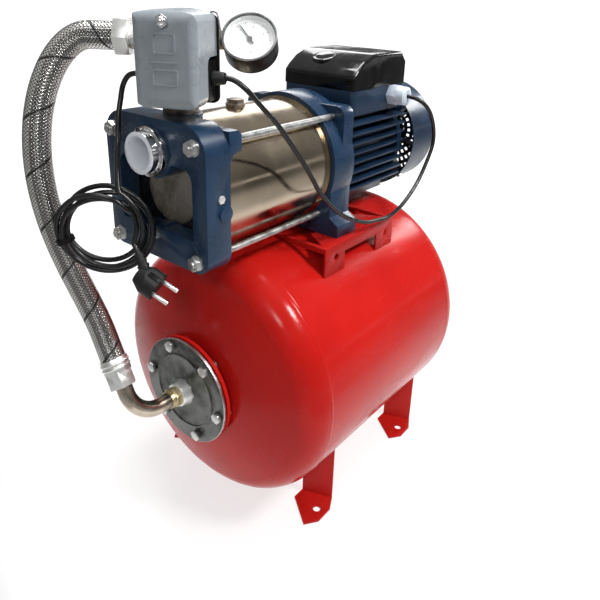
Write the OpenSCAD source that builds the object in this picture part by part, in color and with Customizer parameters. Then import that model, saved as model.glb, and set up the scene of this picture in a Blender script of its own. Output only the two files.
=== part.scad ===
/* [Tank] */
// Outer diameter of the pressure tank
tank_d = 365; // [350:1:380]
// Length of the straight shell between the two domed ends
tank_shell_l = 316; // [308:1:340]
// Depth of each domed end
dome_depth = 65; // [62:1:75]
// Radius of the knuckle between dome and shell
knuckle_r = 40; // [34:1:46]
// Sheet thickness of the tank
tank_wall = 2; // [1.5:0.5:2.5]
// Height of the belly above the ground
belly_h = 28.5; // [26:0.5:34]
// Length of the neck between dome and flange face
neck_l = 8; // [8:0.5:11]
// Bore of the neck
neck_bore_d = 90; // [84:1:94]
// Diameter of the tank flange and its counterflange
flange_d = 147; // [144:1:156]
// Thickness of the tank flange
tank_flange_t = 5; // [4:0.5:5]
// Thickness of the counterflange
flange_t = 4; // [3:0.5:6]
// Circle of the flange bolts
flange_pcd = 126; // [124:1:128]
// Number of flange bolts
flange_bolt_n = 6; // [4:1:8]
// Thread diameter of the flange bolts
flange_bolt_d = 8; // [6:1:8]
// Wall of the rubber membrane
membrane_wall = 3; // [2:0.5:4]
// Largest diameter of the rubber membrane
membrane_d = 290; // [240:1:310]

/* [Feet] */
// Distance between the foot holes along the tank
foot_hole_x = 232; // [222:1:240]
// Distance between the foot holes across the tank
foot_hole_y = 272; // [264:1:280]
// Diameter of the foot holes
foot_hole_d = 11; // [8:0.5:12]
// Sheet thickness of the feet
foot_sheet = 3; // [2:0.5:4]

/* [Pump table] */
// Length of the table along the tank
table_l = 167; // [162:1:180]
// Width of the table across the tank
table_w = 222; // [216:1:232]
// Height of the table's top above the crown of the tank
table_rise = 3.5; // [3:0.5:8]
// Sheet thickness of the table
table_sheet = 3; // [2:0.5:4]
// Width of each leg of the table
leg_w = 44; // [36:1:50]
// Depth of the turned-down rims of the table
rim_h = 15; // [11:1:18]
// Diameter of the holes in the legs
leg_hole_d = 9; // [6:0.5:10]
// Distance between the two leg holes on one side
leg_hole_gap = 120; // [112:1:124]
// Width of the window in the table's plate
window_w = 126; // [100:1:130]

/* [Pump] */
// Height of the pump's axis above its own foot
axis_h = 92.5; // [91:0.5:96]
// Back face of the motor bracket, measured from the middle of the tank
bracket_back_x = -4; // [-10:1:4]
// Depth of the motor bracket
bracket_t = 44; // [40:1:50]
// Width of the bracket's foot
bracket_foot_w = 198; // [190:1:204]
// Outer diameter of the bracket's collar
collar_d = 180; // [178:1:186]
// Outer diameter of the steel shell
shell_d = 164; // [160:1:166]
// Wall of the steel shell
shell_wall = 2; // [1.5:0.5:2.5]
// Length of the steel shell
shell_l = 193; // [186:1:200]
// Depth of the front casting behind its face
cast_t = 35; // [33:1:40]
// Half width of the front casting
cast_half_w = 83; // [81:0.5:86]
// Height of the casting's top above the pump's axis
cast_top_h = 85.5; // [84:0.5:90]
// Depth of the casting's bottom below the pump's axis
cast_low_h = 77.5; // [76:0.5:82]
// Half width of the casting's front opening
mouth_half_w = 61; // [56:0.5:64]
// Top of the casting's front opening above the pump's axis
mouth_top_h = 38; // [34:0.5:40]
// Bottom of the casting's front opening below the pump's axis
mouth_low_h = 41; // [36:0.5:44]
// Sideways distance of the tie rods from the axis
rod_y = 66.5; // [65.5:0.5:68]
// Height of the tie rods above and below the axis
rod_z = 64; // [63:0.5:66]
// Diameter of the tie rods
rod_d = 8.5; // [6:0.5:10]
// Height of the suction nipple above the pump's axis
suction_h = 49.5; // [48:0.5:52]
// Outer diameter of the suction nipple
suction_d = 46; // [42:0.5:48]
// Reach of the suction nipple in front of the casting
suction_reach = 18; // [12:1:26]
// Wall of the suction nipple
suction_wall = 3; // [2:0.5:4]
// Wall of the liner inside the suction nipple
liner_wall = 1.5; // [1:0.25:2]
// Number of pump stages
stage_n = 5; // [3:1:6]
// Diameter of the impellers
impeller_d = 124; // [110:1:130]
// Diameter of the shaft in the pump
pump_shaft_d = 14; // [12:1:16]
// Distance of the filler plug in front of the bracket's collar
filler_back = 90; // [60:1:110]

/* [Motor] */
// Diameter of the shaft in the motor
shaft_d = 17; // [16.5:0.5:18]
// Length of the motor's frame
frame_l = 163; // [156:1:170]
// Diameter of the motor's frame under its fins
frame_d = 116; // [112:1:118]
// Reach of the side fins from the axis
fin_reach = 72; // [66:1:76]
// Thickness of a fin
fin_t = 3; // [2:0.5:4]
// Distance between two fins
fin_pitch = 13.5; // [12:0.5:14]
// Number of fins on each side
fin_n = 8; // [5:1:8]
// Diameter of the rotor core
rotor_d = 59; // [54:1:62]
// Length of the rotor core and the stator
stack_l = 80; // [60:1:84]
// Air gap between the rotor core and the stator
air_gap = 0.5; // [0.4:0.1:0.8]
// Outer diameter of the ball bearings
bearing_d = 40; // [36:1:44]
// Width of the ball bearings
bearing_w = 12; // [10:1:13]
// Thickness of the rear shield
shield_t = 11; // [9:1:12]
// Outer diameter of the fan cover at its front edge
cowl_d = 168; // [160:1:172]
// Length of the fan cover
cowl_l = 74; // [68:1:80]
// Sheet thickness of the fan cover
cowl_wall = 1.5; // [1:0.5:2]
// Diameter of the cooling fan
fan_d = 136; // [120:1:140]
// Number of fan blades
blade_n = 7; // [5:1:9]

/* [Terminal box] */
// Start of the terminal box behind the bracket's back face
box_gap = 31; // [26:1:36]
// Length of the terminal box
box_l = 138; // [132:1:142]
// Width of the terminal box
box_w = 124; // [120:1:128]
// Height of the cast base of the terminal box
box_base_h = 34; // [30:1:36]
// Height of the black cover's rim
lid_h = 33; // [30:1:38]
// Height of the raised middle of the cover
lid_rise = 14; // [8:1:16]
// Distance of the cable gland from the back of the terminal box
gland_back = 39; // [34:1:56]
// Diameter of the cable gland
gland_d = 27; // [24:1:28]
// Reach of the cable gland from the box
gland_l = 29; // [26:1:36]

/* [Fittings] */
// Height of the five-way fitting's cross run above the casting's top
cross_h = 79; // [76:1:84]
// Turn of the fitting's two arms about its own axis
fitting_turn = 215; // [213:1:217]
// Outer diameter of the fitting's barrel
barrel_d = 34; // [32:1:36]
// Bore of the fitting
barrel_bore_d = 26; // [22:1:27]
// Distance of the hose nut from the fitting's axis
hose_nut_at = 50; // [46:1:52]
// Diameter of the braided hose
hose_d = 30; // [27:0.5:31]
// Bore of the braided hose
hose_bore_d = 19; // [16:0.5:20]
// Length of the brass adapter's hexagon in front of the counterflange
adapter_l = 13; // [12:1:16]
// Diameter of the polished elbow tube
elbow_d = 20; // [18:0.5:22]
// Radius of the elbow tube's bend
elbow_bend_r = 35; // [32:1:36]
// Distance of the elbow's corner in front of the adapter
elbow_reach = 49; // [47:1:54]
// Rise of the elbow's outlet above the horizontal, in degrees
elbow_rise = 62; // [60:1:64]

/* [Pressure switch] */
// Turn of the pressure switch about the fitting's axis
switch_turn = 206.5; // [205:0.5:209]
// Height of the switch's base above the casting's top
switch_h = 17; // [16.5:0.5:22]
// Distance of the switch's back from the fitting's axis
switch_back = 20.5; // [20:0.5:24]
// Depth of the switch
switch_t = 60; // [57:1:64]
// Width of the switch
switch_w = 65; // [62:1:70]
// Height of the switch's cover at its sides
switch_side_h = 89; // [85:1:96]
// Sideways shift of the switch from the fitting's axis
switch_shift = 18.5; // [16:0.5:21]
// Wall of the switch's cover
switch_wall = 2; // [1.5:0.5:3]

/* [Gauge] */
// Outer diameter of the gauge's case
gauge_d = 58.5; // [56:0.5:64]
// Depth of the gauge's case
gauge_t = 25; // [22:1:28]
// Distance of the gauge's middle from the fitting's axis
gauge_at = 77.5; // [75:0.5:82]
// Tilt of the dial from level towards the front, in degrees
gauge_tilt = 51; // [40:1:60]
// Angle of the needle on the dial, counted from three o'clock
needle_angle = 215.5; // [180:0.5:225]

/* [Cords] */
// Diameter of the two flexes
flex_d = 5.8; // [5.4:0.2:7]
// Gap between neighbouring strands of the coiled lead
strand_gap = 0.5; // [0.4:0.1:1]
// Radius of the coiled lead's middle line
coil_r = 42.8; // [41:0.2:46]
// Turns of the coiled lead
coil_turns = 4; // [3:1:4]

/* [Hidden] */
$fn = 64;

// Overrun of every cut past the face that it opens
cut = 1;
// Clearance of a welded or bolted seat
seat = 0.2;
// Clearance round a bolt, a rod or a screw
bolt_clear = 0.3;
// Running clearance of the shaft in its bearings
run_clear = 0.03;

// Stations and radii of the tank
tank_r = tank_d / 2;
tank_z = belly_h + tank_r;
shell_half = tank_shell_l / 2;
apex_x = shell_half + dome_depth;
crown_r = (pow(dome_depth, 2) + pow(tank_r - knuckle_r, 2) - pow(knuckle_r, 2))
    / (2 * (dome_depth - knuckle_r));
neck_face_x = -apex_x - neck_l;
neck_wall = 4;
neck_r = neck_bore_d / 2 + neck_wall;
gasket_t = 2;
flange_x = neck_face_x - gasket_t;
flange_front_x = flange_x - flange_t;
flange_boss_r = 19;
flange_boss_l = 14;
flange_turn = 9.5;
flange_rib_w = 3;
adapter_root_l = 12;
adapter_bore_d = 14;
adapter_collar_l = 5;
adapter_hex_extra = 10;
flange_nut_t = 6;
flange_head_t = 5.3;
flange_bolt_af = flange_bolt_d + 5;

// The air valve in the far dome
valve_boss_r = 13;
valve_boss_l = 9;
valve_stem_d = 8;
valve_stem_l = 18;
valve_cap_d = 42;
valve_cap_wall = 2;
valve_cap_l = 26;

// Outline of a foot's tab, measured from its hole, and the plate that stands on its fold
tab_reach = 33;
tab_half = 15;
tab_fold_near = [33, -4];
tab_fold_far = [17, 39];
tab_tip_y = 2;
tab_right_x = 12;
tab_back_x = 3;
foot_hole_from_fold = norm(tab_fold_far - tab_fold_near);
fold_turn = atan2(tab_fold_far[1] - tab_fold_near[1], tab_fold_far[0] - tab_fold_near[0]);

// The table
table_z = 2 * tank_r + belly_h + table_rise;
table_x0 = bracket_back_x - 85;
table_x1 = table_x0 + table_l;
table_mid_x = bracket_back_x;
window_front = 7;
window_deep = 30;
window_flare = 37;
table_bolt_d = 10;
table_bolt_y = 86;
table_bolt_af = 17;
table_head_t = 7;
foot_plate_h = 16;
table_bolt_in = 12;

// Stations along the pump's axis
pump_z = table_z + axis_h;
bracket_x0 = bracket_back_x - bracket_t;
lug_front_x = bracket_back_x - 22;
shell_seat_l = 4;
shell_x1 = bracket_x0 + shell_seat_l;
shell_x0 = shell_x1 - shell_l;
shell_r = shell_d / 2;
bead_r = shell_r + 3;
bead_w = 4;
cast_socket_l = 7;
cast_x1 = shell_x0 + cast_socket_l;
cast_x0 = cast_x1 - cast_t;
cast_lug_l = 17;
cast_lug_h = 14;
cast_lug_low = 9;
cast_top_r = 30;
cast_low_r = 18;
cast_fillet_r = 14;
mouth_r = 15;
mouth_low_r = 4;
nipple_web = 8;
nipple_boss_r = suction_d / 2 + nipple_web;
nipple_collar_rise = 5;
nipple_collar_l = 9;
cover_t = 2;
cover_rim_w = 3;
cover_x0 = shell_x0 - cover_t - seat;
rod_nut_t = 8;
rod_nut_af = 15;
rod_grip = 16;
rod_end = 3;
port_back = 14;
port_x = shell_x0 + port_back;
port_r = 24;
port_bore_r = 11;
port_depth = 12;
port_wall = 2.5;
drain_z = -47;
drain_r = 5;
drain_head_l = 7;
drain_root_l = 10;
vent_h = 8;
vent_r = 4;
vent_head_t = 3;
vent_x = cover_x0 - vent_r - seat - cover_t;
side_boss_r = 9;
side_boss_h = -10;
side_boss_out = 3;
filler_x = bracket_x0 - filler_back;
filler_boss_r = 12;
filler_boss_h = 2;
filler_af = 19;
filler_head_h = 7;
filler_root_h = 4;

// Stations along the motor
frame_x1 = bracket_back_x + frame_l;
shield_x1 = frame_x1 + shield_t;
frame_r = frame_d / 2;
frame_wall = 5;
frame_bore_r = frame_r - frame_wall;
flange_half_w = 85;
flange_corner_r = 26;
bracket_wall = 12;
low_fin_n = 6;
low_fin_pitch = 14;
low_fin_reach = frame_r + 20;
low_row_share = 0.42;
shield_r = 62;
bearing_seat_wall = 8;
stack_x0 = bracket_back_x + 44;
cowl_r = cowl_d / 2;
cowl_x0 = shield_x1 + seat;
cowl_x1 = cowl_x0 + cowl_l;
cowl_taper = 1;
cowl_chamfer = 8;
cowl_lug_w = 16;
cowl_lug_l = 16;
cowl_lug_foot = 3;
cowl_lug_sink = 7;
cowl_lug_drop = 2.5;
cowl_screw_d = 5;
cowl_screw_head = 9;
cowl_screw_head_t = 3;
grille_hole = 6;
grille_pitch = 9;
grille_rings = 6;
fan_lead = 12;
fan_x0 = cowl_x0 + cowl_lug_l + fan_lead;
fan_w = 24;
fan_hub_r = 16;
fan_plate_t = 3;
blade_t = 2.5;
shaft_x1 = fan_x0 + fan_w + 4;
shaft_x0 = shell_x0 + 12;
shaft_step_x = bracket_x0 + 14;

// The stages between the front casting and the bracket
stage_x0 = port_x + port_bore_r + 4;
stage_x1 = bracket_x0 - 4;
stage_l = (stage_x1 - stage_x0) / stage_n;
stage_gap = 0.6;
stage_r = shell_r - shell_wall - 0.4;
stage_wall = 2.5;
stage_web = 3;
impeller_gap = 2;
impeller_disc = 2;
impeller_w = 14;
impeller_hub_r = 13;
impeller_eye_r = 22;
vane_n = 6;
vane_t = 2;
vane_turn = 38;
seal_r = 17;
seal_l = 9;

// The terminal box
box_x0 = bracket_back_x + box_gap;
box_x1 = box_x0 + box_l;
box_z0 = frame_r - 2.5;
box_z1 = box_z0 + box_base_h;
box_wall = 4;
box_r = 8;
lid_wall = 2.5;
lid_r = 9;
lid_edge_r = 11;
lid_front_h = 18;
lid_slope_l = 45;
lid_slope = 10;
lid_mid_l = 84;
lid_mid_w = 96;
cap_r = 17;
cap_l = 62;
cap_dome_r = 21;
cap_gap = 8;
cap_y = box_w / 2 - box_wall - cap_r - cap_gap;
cap_x0 = box_x0 + 12;
gland_x = box_x1 - gland_back;
gland_z = box_z0 + 21;
gland_nut_l = 15;
gland_seat_l = 14;
gland_thread_r = 10;
block_l = 52;
block_w = 26;
block_h = 16;

// The five-way fitting, in a frame that faces the way the switch does
cast_top_z = pump_z + cast_top_h;
cross_z = cast_top_z + cross_h;
barrel_r = barrel_d / 2;
barrel_top = 24;
base_h = switch_h - 2;
base_r = 20;
arm_r = 13;
arm_hex_af = 30;
arm_hex_l = 11;
top_hex_drop = 2;
hose_nut_af = 37;
hose_nut_l = 20;
hose_nut_lip = 4;
ferrule_l = 12;
hose_at = hose_nut_at + hose_nut_l - hose_nut_lip;
small_port_z = cast_top_z + switch_h + 30;
small_boss_r = 8.5;
small_pipe_r = 6.5;
small_pipe_in = 5;
small_pipe_out = 10;
gauge_hex_af = 19;
gauge_hex_l = 13;
gauge_boss_r = 10;
gauge_boss_l = 11;

// The elbow tube and the lower nut
adapter_x = flange_front_x - flange_boss_l - adapter_l;
elbow_x = adapter_x - elbow_reach;
elbow_wall = 1.5;
low_nut_l = 19;
elbow_out_l = 10;
ferrule_rib_in = 0.5;
ferrule_rib_r = 1.5;
low_nut_af = 30;
low_ferrule_l = 17;
low_ferrule_d = 33;

// The pressure switch
switch_z = cast_top_z + switch_h;
switch_x0 = switch_back;
switch_x1 = switch_back + switch_t;
switch_y0 = switch_shift - switch_w / 2;
switch_y1 = switch_shift + switch_w / 2;
switch_sheet = 2.5;
switch_rim = 2.5;
switch_round = 8;
switch_crown = 5;
switch_top_r = 12;
notch_l = 28.5;
notch_h = 49;
tray_z = 2.2;
tray_t = 2.2;
relief_deep = 1;
relief_rib = 2;
relief_y = 19.5;
relief_w = 26.5;
relief_low = [23.5, 40];
relief_bar_z = 45;
relief_high = [53.5, 73.5];
relief_high_w = 23.5;
stud_d = 6;
stud_x = switch_x0 + 43.5;
stud_top = 62;
cover_stud_y = switch_shift + 1;
cover_stud_h = 83.5;
nut_af = 11;
acorn_h = 8;
grommet_r = 8;
grommet_l = 13;
grommet_plug_l = 3;
grommet_x = switch_x0 + 11.5;
grommet_z = switch_z + 27.5;
block_x1 = switch_x0 + 27;
block_in = 1;
block_high = 45;
spring_r = 7;
spring_wall = 1.5;
spring_h = 22;
lever_t = 2;
lever_l = 22;
lever_w = 20;
lever_pin_r = 2;
lever_pin_x = block_x1 + 5;
lever_z = switch_z + 30;
ear_t = 4;
ear_half = 4;
spring_z = lever_z + lever_t + seat;

// The gauge, in its own tilted frame
gauge_r = gauge_d / 2;
gauge_wall = 2;
gauge_drop = 2;
dial_deep = 6;
dial_t = 1;
lens_t = 2;
rim_w = 3;
needle_l = 21;
needle_tail = 7;
needle_t = 0.8;
needle_w = 2.4;
needle_hub_r = 3;
needle_pin_r = 1;
needle_lift = 1.2;

// Routes of the cords, in millimetres from the same origin as everything else
hose_bulge = [-399, 98, 514];
hose_start_pull = 54;
hose_end_pull = 97;
hose_steps = 15;
cable_route = [
    [-214.5, -90, 611], [-198.9, -98, 592], [-179.3, -103, 571.5], [-160.9, -105, 550],
    [-140, -107, 525], [-121, -109, 499], [-101.7, -111, 473], [-62.8, -114, 439],
    [-15.9, -117, 416.5], [16, -118, 410], [47.7, -119, 407], [78, -119, 412],
    [105.4, -119, 424.6], [131, -118.5, 442], [151.5, -118, 464], [166.7, -118, 487.5],
    [168, -118.5, 505], [160.3, -119, 525], [146, -118.5, 545], [132.5, -113, 559]
];
cord_route = [
    [-269.5, 27, 616], [-271, 36, 605], [-275, 36.5, 590.5], [-281, 34.2, 573],
    [-287, 30, 549], [-295, 22.5, 530], [-302, 14.5, 516]
];
tail_route = [[-299.9, -9.1, 460.4]];
coil_middle = [-317, 24.8, 455.4];
coil_face = [-0.77, -0.64, 0];
coil_in_angle = 54;
coil_out_angle = 50;
coil_phase = 60;
coil_open_share = 0.6;
coil_wide_share = 1.06;
coil_strands = coil_turns + 1;
bundle_r = (flex_d + strand_gap) / (2 * sin(180 / coil_strands));
tie_angle = 198;
tie_gap = 0.7;
plug_face = [-301.3, -42.5, 401.3];
plug_pins_way = [0.356, -0.785, -0.504];
plug_row_way = [-0.912, -0.174, -0.3725];
plug_neck_way = [0.01, 0.526, 0.85];
plug_d = 32;
plug_l = 27;
plug_front_l = 15;
plug_flat = 14;
plug_neck_back = 11;
plug_neck_l = 34;
plug_neck_r = 7.5;
plug_tip_r = 4.1;
plug_rib_n = 4;
plug_rib_l = 3;
plug_rib_rise = 0.8;
pin_d = 4.8;
pin_l = 19;
pin_gap = 19;
clip_w = 6;
clip_t = 0.8;
plug_at = plug_face - plug_neck_back * plug_pins_way + plug_neck_l * unit(plug_neck_way);
plug_way = -unit(plug_neck_way);
tie_t = 1.2;
tie_w = 5;

function unit(v) = v / norm(v);
function bezier(p, t) = len(p) == 1 ? p[0]
    : bezier([for (i = [0:len(p) - 2]) p[i] * (1 - t) + p[i + 1] * t], t);
function spline(p, i, t) =
    let (a = p[max(i - 1, 0)], b = p[i], c = p[i + 1], d = p[min(i + 2, len(p) - 1)])
    b + t * ((c - a) / 2 + t * (a - 2.5 * b + 2 * c - d / 2 + t * ((d - a) / 2 + 1.5 * (b - c))));
function smooth(p, n) = concat(
    [for (i = [0:len(p) - 2]) for (k = [0:n - 1]) spline(p, i, k / n)], [p[len(p) - 1]]);
function ways(p) =
    [for (i = [0:len(p) - 1]) unit(p[min(i + 1, len(p) - 1)] - p[max(i - 1, 0)])];
function across(u, t) = unit(u - (u * t) * t);
function sides_of(t) = [for (
    i = 0, u = across(abs(t[0][2]) < 0.9 ? [0, 0, 1] : [1, 0, 0], t[0]);
    i < len(t);
    i = i + 1, u = across(u, t[min(i, len(t) - 1)])) u];
function path_length(p) = len(p) < 2 ? 0
    : let (d = [for (i = [1:len(p) - 1]) norm(p[i] - p[i - 1])]) d * [for (x = d) 1];

// A round tube along the points p, closed at both ends, as one swept skin
module sweep(p, r, n) {
    t = ways(p);
    u = sides_of(t);
    pts = [for (i = [0:len(p) - 1]) for (j = [0:n - 1])
        p[i] + r * (cos(360 * j / n) * u[i] + sin(360 * j / n) * cross(t[i], u[i]))];
    skin = [for (i = [0:len(p) - 2]) for (j = [0:n - 1]) each [
        [i * n + j, (i + 1) * n + j, (i + 1) * n + (j + 1) % n],
        [i * n + j, (i + 1) * n + (j + 1) % n, i * n + (j + 1) % n]]];
    ends = [for (j = [1:n - 2]) each [
        [0, j, j + 1],
        [(len(p) - 1) * n, (len(p) - 1) * n + j + 1, (len(p) - 1) * n + j]]];
    polyhedron(points = pts, faces = concat(skin, ends), convexity = 10);
}

module rod_x(x0, x1, r) {
    translate([x0, 0, 0]) rotate([0, 90, 0]) cylinder(h = x1 - x0, r = r);
}

module ring_x(x0, x1, ro, ri) {
    difference() {
        rod_x(x0, x1, ro);
        rod_x(x0 - cut, x1 + cut, ri);
    }
}

module cone_x(x0, x1, r0, r1) {
    translate([x0, 0, 0]) rotate([0, 90, 0]) cylinder(h = x1 - x0, r1 = r0, r2 = r1);
}

module hex_x(x0, x1, af) {
    translate([x0, 0, 0]) rotate([0, 90, 0]) cylinder(h = x1 - x0, r = af / sqrt(3), $fn = 6);
}

module hex_z(z0, z1, af) {
    translate([0, 0, z0]) cylinder(h = z1 - z0, r = af / sqrt(3), $fn = 6);
}

module block(a, b) {
    translate(a) cube(b - a);
}

// A rectangle from a to b with round corners of radius r
module round_rect(a, b, r) {
    translate([a[0] + r, a[1]]) square([b[0] - a[0] - 2 * r, b[1] - a[1]]);
    translate([a[0], a[1] + r]) square([b[0] - a[0], b[1] - a[1] - 2 * r]);
    for (x = [a[0] + r, b[0] - r], y = [a[1] + r, b[1] - r]) translate([x, y]) circle(r);
}

// A plate that lies across the pump's axis: its outline is drawn in y and z
module across_x(x0, x1) {
    translate([x0, 0, 0]) rotate([90, 0, 90]) linear_extrude(x1 - x0) children();
}

module at_tank() {
    translate([0, 0, tank_z]) children();
}

module at_pump() {
    translate([0, 0, pump_z]) children();
}

module at_fitting() {
    translate([port_x, 0, 0]) rotate([0, 0, fitting_turn]) children();
}

module at_switch() {
    translate([port_x, 0, 0]) rotate([0, 0, switch_turn]) children();
}

module at_rods() {
    for (y = [-rod_y, rod_y], z = [-rod_z, rod_z]) translate([0, y, z]) children();
}

module at_flange_bolts() {
    for (i = [0:flange_bolt_n - 1])
        rotate([360 * (i + 1 / 2) / flange_bolt_n + flange_turn, 0, 0]) translate([0, 0, flange_pcd / 2])
            children();
}

// Half section of the tank, as radius and distance from the middle
module tank_half_section(inset) {
    square([tank_r - inset, shell_half]);
    translate([0, shell_half]) {
        translate([tank_r - knuckle_r, 0]) circle(knuckle_r - inset);
        intersection() {
            translate([0, dome_depth - crown_r]) circle(crown_r - inset, $fn = 128);
            polygon([
                [0, -cut], [tank_r - knuckle_r, -cut], [tank_r - knuckle_r, 0],
                [tank_r - knuckle_r, 0] + 2 * dome_depth
                    * unit([tank_r - knuckle_r, crown_r - dome_depth]),
                [0, 2 * dome_depth]]);
        }
    }
}

module tank_solid(inset) {
    for (turn = [-90, 90]) rotate([0, turn, 0])
        rotate_extrude($fn = 96) intersection() {
            tank_half_section(inset);
            square([tank_r, apex_x]);
        }
}

module tank_shell() {
    color("firebrick") at_tank() {
        difference() {
            union() {
                tank_solid(0);
                rod_x(neck_face_x, -apex_x + dome_depth / 4, neck_r);
                rod_x(neck_face_x, neck_face_x + tank_flange_t, flange_d / 2);
                rod_x(apex_x - dome_depth / 4, apex_x + valve_boss_l, valve_boss_r);
            }
            tank_solid(tank_wall);
            rod_x(neck_face_x - cut, -apex_x + dome_depth / 2, neck_bore_d / 2);
            rod_x(apex_x - dome_depth / 2, apex_x + valve_boss_l + cut, valve_stem_d / 2);
            at_flange_bolts()
                rod_x(neck_face_x - cut, neck_face_x + tank_flange_t + cut,
                    (flange_bolt_d + bolt_clear) / 2);
        }
    }
}

// The bag of the membrane, grown inwards by inset
module membrane_bag(inset) {
    bag_r = membrane_d / 2 - inset;
    bag_half = tank_shell_l * 0.42;
    end_r = dome_depth * 0.8 - inset;
    rod_x(-bag_half, bag_half, bag_r);
    for (x = [-bag_half, bag_half]) translate([x, 0, 0]) rotate([0, 90, 0]) rotate_extrude() {
        translate([bag_r - end_r, 0]) circle(end_r);
        translate([0, -end_r]) square([bag_r - end_r, 2 * end_r]);
    }
}

module tank_membrane() {
    throat_r = neck_bore_d / 2 - seat;
    color("dimgray") at_tank() difference() {
        union() {
            rod_x(neck_face_x - gasket_t, neck_face_x, flange_pcd / 2 - flange_bolt_d);
            rod_x(neck_face_x - cut, -shell_half, throat_r);
            membrane_bag(0);
        }
        rod_x(neck_face_x - gasket_t - cut, -shell_half + cut, throat_r - membrane_wall);
        membrane_bag(membrane_wall);
    }
}

module counterflange() {
    rib_r = flange_d / 2 - flange_bolt_d * 2.6;
    color("silver") at_tank() difference() {
        union() {
            rod_x(flange_front_x, flange_x, flange_d / 2);
            ring_x(flange_front_x - flange_rib_w / 2, flange_front_x + cut, rib_r,
                rib_r - flange_rib_w);
            cone_x(flange_front_x - flange_boss_l, flange_front_x + cut, flange_boss_r * 0.8,
                flange_boss_r);
        }
        rod_x(flange_front_x - flange_boss_l - cut, flange_x + cut,
            adapter_bore_d / 2 + elbow_wall + seat);
        at_flange_bolts()
            rod_x(flange_front_x - cut, flange_x + cut, (flange_bolt_d + bolt_clear) / 2);
    }
}

module flange_bolts() {
    nut_x = neck_face_x + tank_flange_t;
    color("silver") at_tank() at_flange_bolts() {
        hex_x(flange_front_x - flange_head_t, flange_front_x, flange_bolt_af);
        rod_x(flange_front_x - cut, nut_x + flange_nut_t, flange_bolt_d / 2);
        difference() {
            hex_x(nut_x, nut_x + flange_nut_t, flange_bolt_af);
            rod_x(nut_x - cut, nut_x + flange_nut_t + cut, flange_bolt_d / 2 + run_clear);
        }
    }
}

// One foot for the side at negative y, with its hole at the origin
module foot() {
    difference() {
        linear_extrude(foot_sheet) polygon([
            [-tab_reach, -tab_tip_y], [-tab_half, -tab_half], [tab_right_x, -tab_half],
            tab_fold_near, tab_fold_far, [-tab_back_x, tab_fold_far[1]]]);
        translate([0, 0, -cut]) cylinder(h = foot_sheet + 2 * cut, d = foot_hole_d);
    }
    translate([tab_fold_near[0], tab_fold_near[1], 0]) rotate([0, 0, fold_turn])
        cube([foot_hole_from_fold, foot_sheet, tank_z / 2]);
}

module tank_feet() {
    color("firebrick") difference() {
        for (x = [-1, 1] * foot_hole_x / 2, side = [0, 1]) mirror([0, side, 0])
            translate([x, -foot_hole_y / 2, 0]) foot();
        at_tank() rod_x(-apex_x, apex_x, tank_r + seat);
    }
}

module air_valve() {
    color("gold") at_tank() {
        rod_x(apex_x + seat - valve_boss_l, apex_x + valve_boss_l + valve_stem_l,
            valve_stem_d / 2 - seat / 2);
        hex_x(apex_x + valve_boss_l, apex_x + valve_boss_l + valve_stem_d / 2,
            valve_stem_d * 1.8);
    }
}

module air_valve_cap() {
    x0 = apex_x + seat;
    color("black") at_tank() difference() {
        union() {
            cone_x(x0 + valve_cap_l * 0.6, x0 + valve_cap_l + valve_boss_l, valve_cap_d / 2,
                valve_cap_d * 0.4);
            rod_x(x0, x0 + valve_cap_l * 0.6, valve_cap_d / 2);
        }
        rod_x(x0 - cut, x0 + valve_cap_l + valve_boss_l - valve_cap_wall,
            valve_boss_r + seat);
        tank_solid(-seat);
    }
}

module table_window() {
    w = window_w / 2;
    f = w + window_flare;
    x0 = table_x0 + window_front;
    x1 = table_x1 - window_front;
    d = window_deep - window_front;
    polygon([[x0, -f], [x0 + d, -w], [x1 - d, -w], [x1, -f],
        [x1, f], [x1 - d, w], [x0 + d, w], [x0, f]]);
}

module pump_table() {
    t = table_sheet;
    y = table_w / 2;
    hole_z = table_z - t - rim_h;
    color("firebrick") difference() {
        union() {
            translate([0, 0, table_z - t]) linear_extrude(t) difference() {
                translate([table_x0, -y]) square([table_l, table_w]);
                table_window();
            }
            for (side = [-y, y - t]) {
                block([table_x0, side, table_z - rim_h], [table_x1, side + t, table_z]);
                for (x = [table_x0, table_x1 - leg_w])
                    block([x, side, tank_z], [x + leg_w, side + t, table_z]);
            }
            for (x = [table_x0, table_x1 - t])
                block([x, -y, table_z - rim_h / 2], [x + t, y, table_z]);
        }
        at_tank() rod_x(-apex_x, apex_x, tank_r + seat);
        for (x = [-1, 1] * leg_hole_gap / 2)
            translate([x + table_mid_x, 0, hole_z]) rotate([90, 0, 0])
                cylinder(h = table_w + 2 * cut, d = leg_hole_d, center = true);
        for (side = [-1, 1] * table_bolt_y)
            translate([(bracket_x0 + bracket_back_x) / 2, side, table_z - t - cut])
                cylinder(h = t + 2 * cut, d = table_bolt_d + bolt_clear);
    }
}

module table_bolts() {
    color("silver") for (side = [-1, 1] * table_bolt_y)
        translate([(bracket_x0 + bracket_back_x) / 2, side, table_z]) {
            hex_z(-table_sheet - table_head_t, -table_sheet, table_bolt_af);
            translate([0, 0, -table_sheet - cut])
                cylinder(h = table_sheet + table_bolt_in + cut, d = table_bolt_d);
        }
}

module brass_adapter() {
    boss_x = flange_front_x - flange_boss_l;
    color("gold") at_tank() difference() {
        union() {
            rod_x(boss_x - cut, flange_front_x - flange_boss_l + adapter_root_l,
                adapter_bore_d / 2 + elbow_wall);
            hex_x(adapter_x + adapter_collar_l, boss_x, adapter_bore_d + adapter_hex_extra);
            rod_x(adapter_x, adapter_x + adapter_collar_l + cut, elbow_d / 2 + elbow_wall);
        }
        rod_x(adapter_x + adapter_l * 0.7, flange_front_x + adapter_root_l + cut,
            adapter_bore_d / 2 - elbow_wall);
        rod_x(adapter_x - cut, adapter_x + adapter_l * 0.7 + seat, elbow_d / 2 + seat / 2);
    }
}

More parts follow.
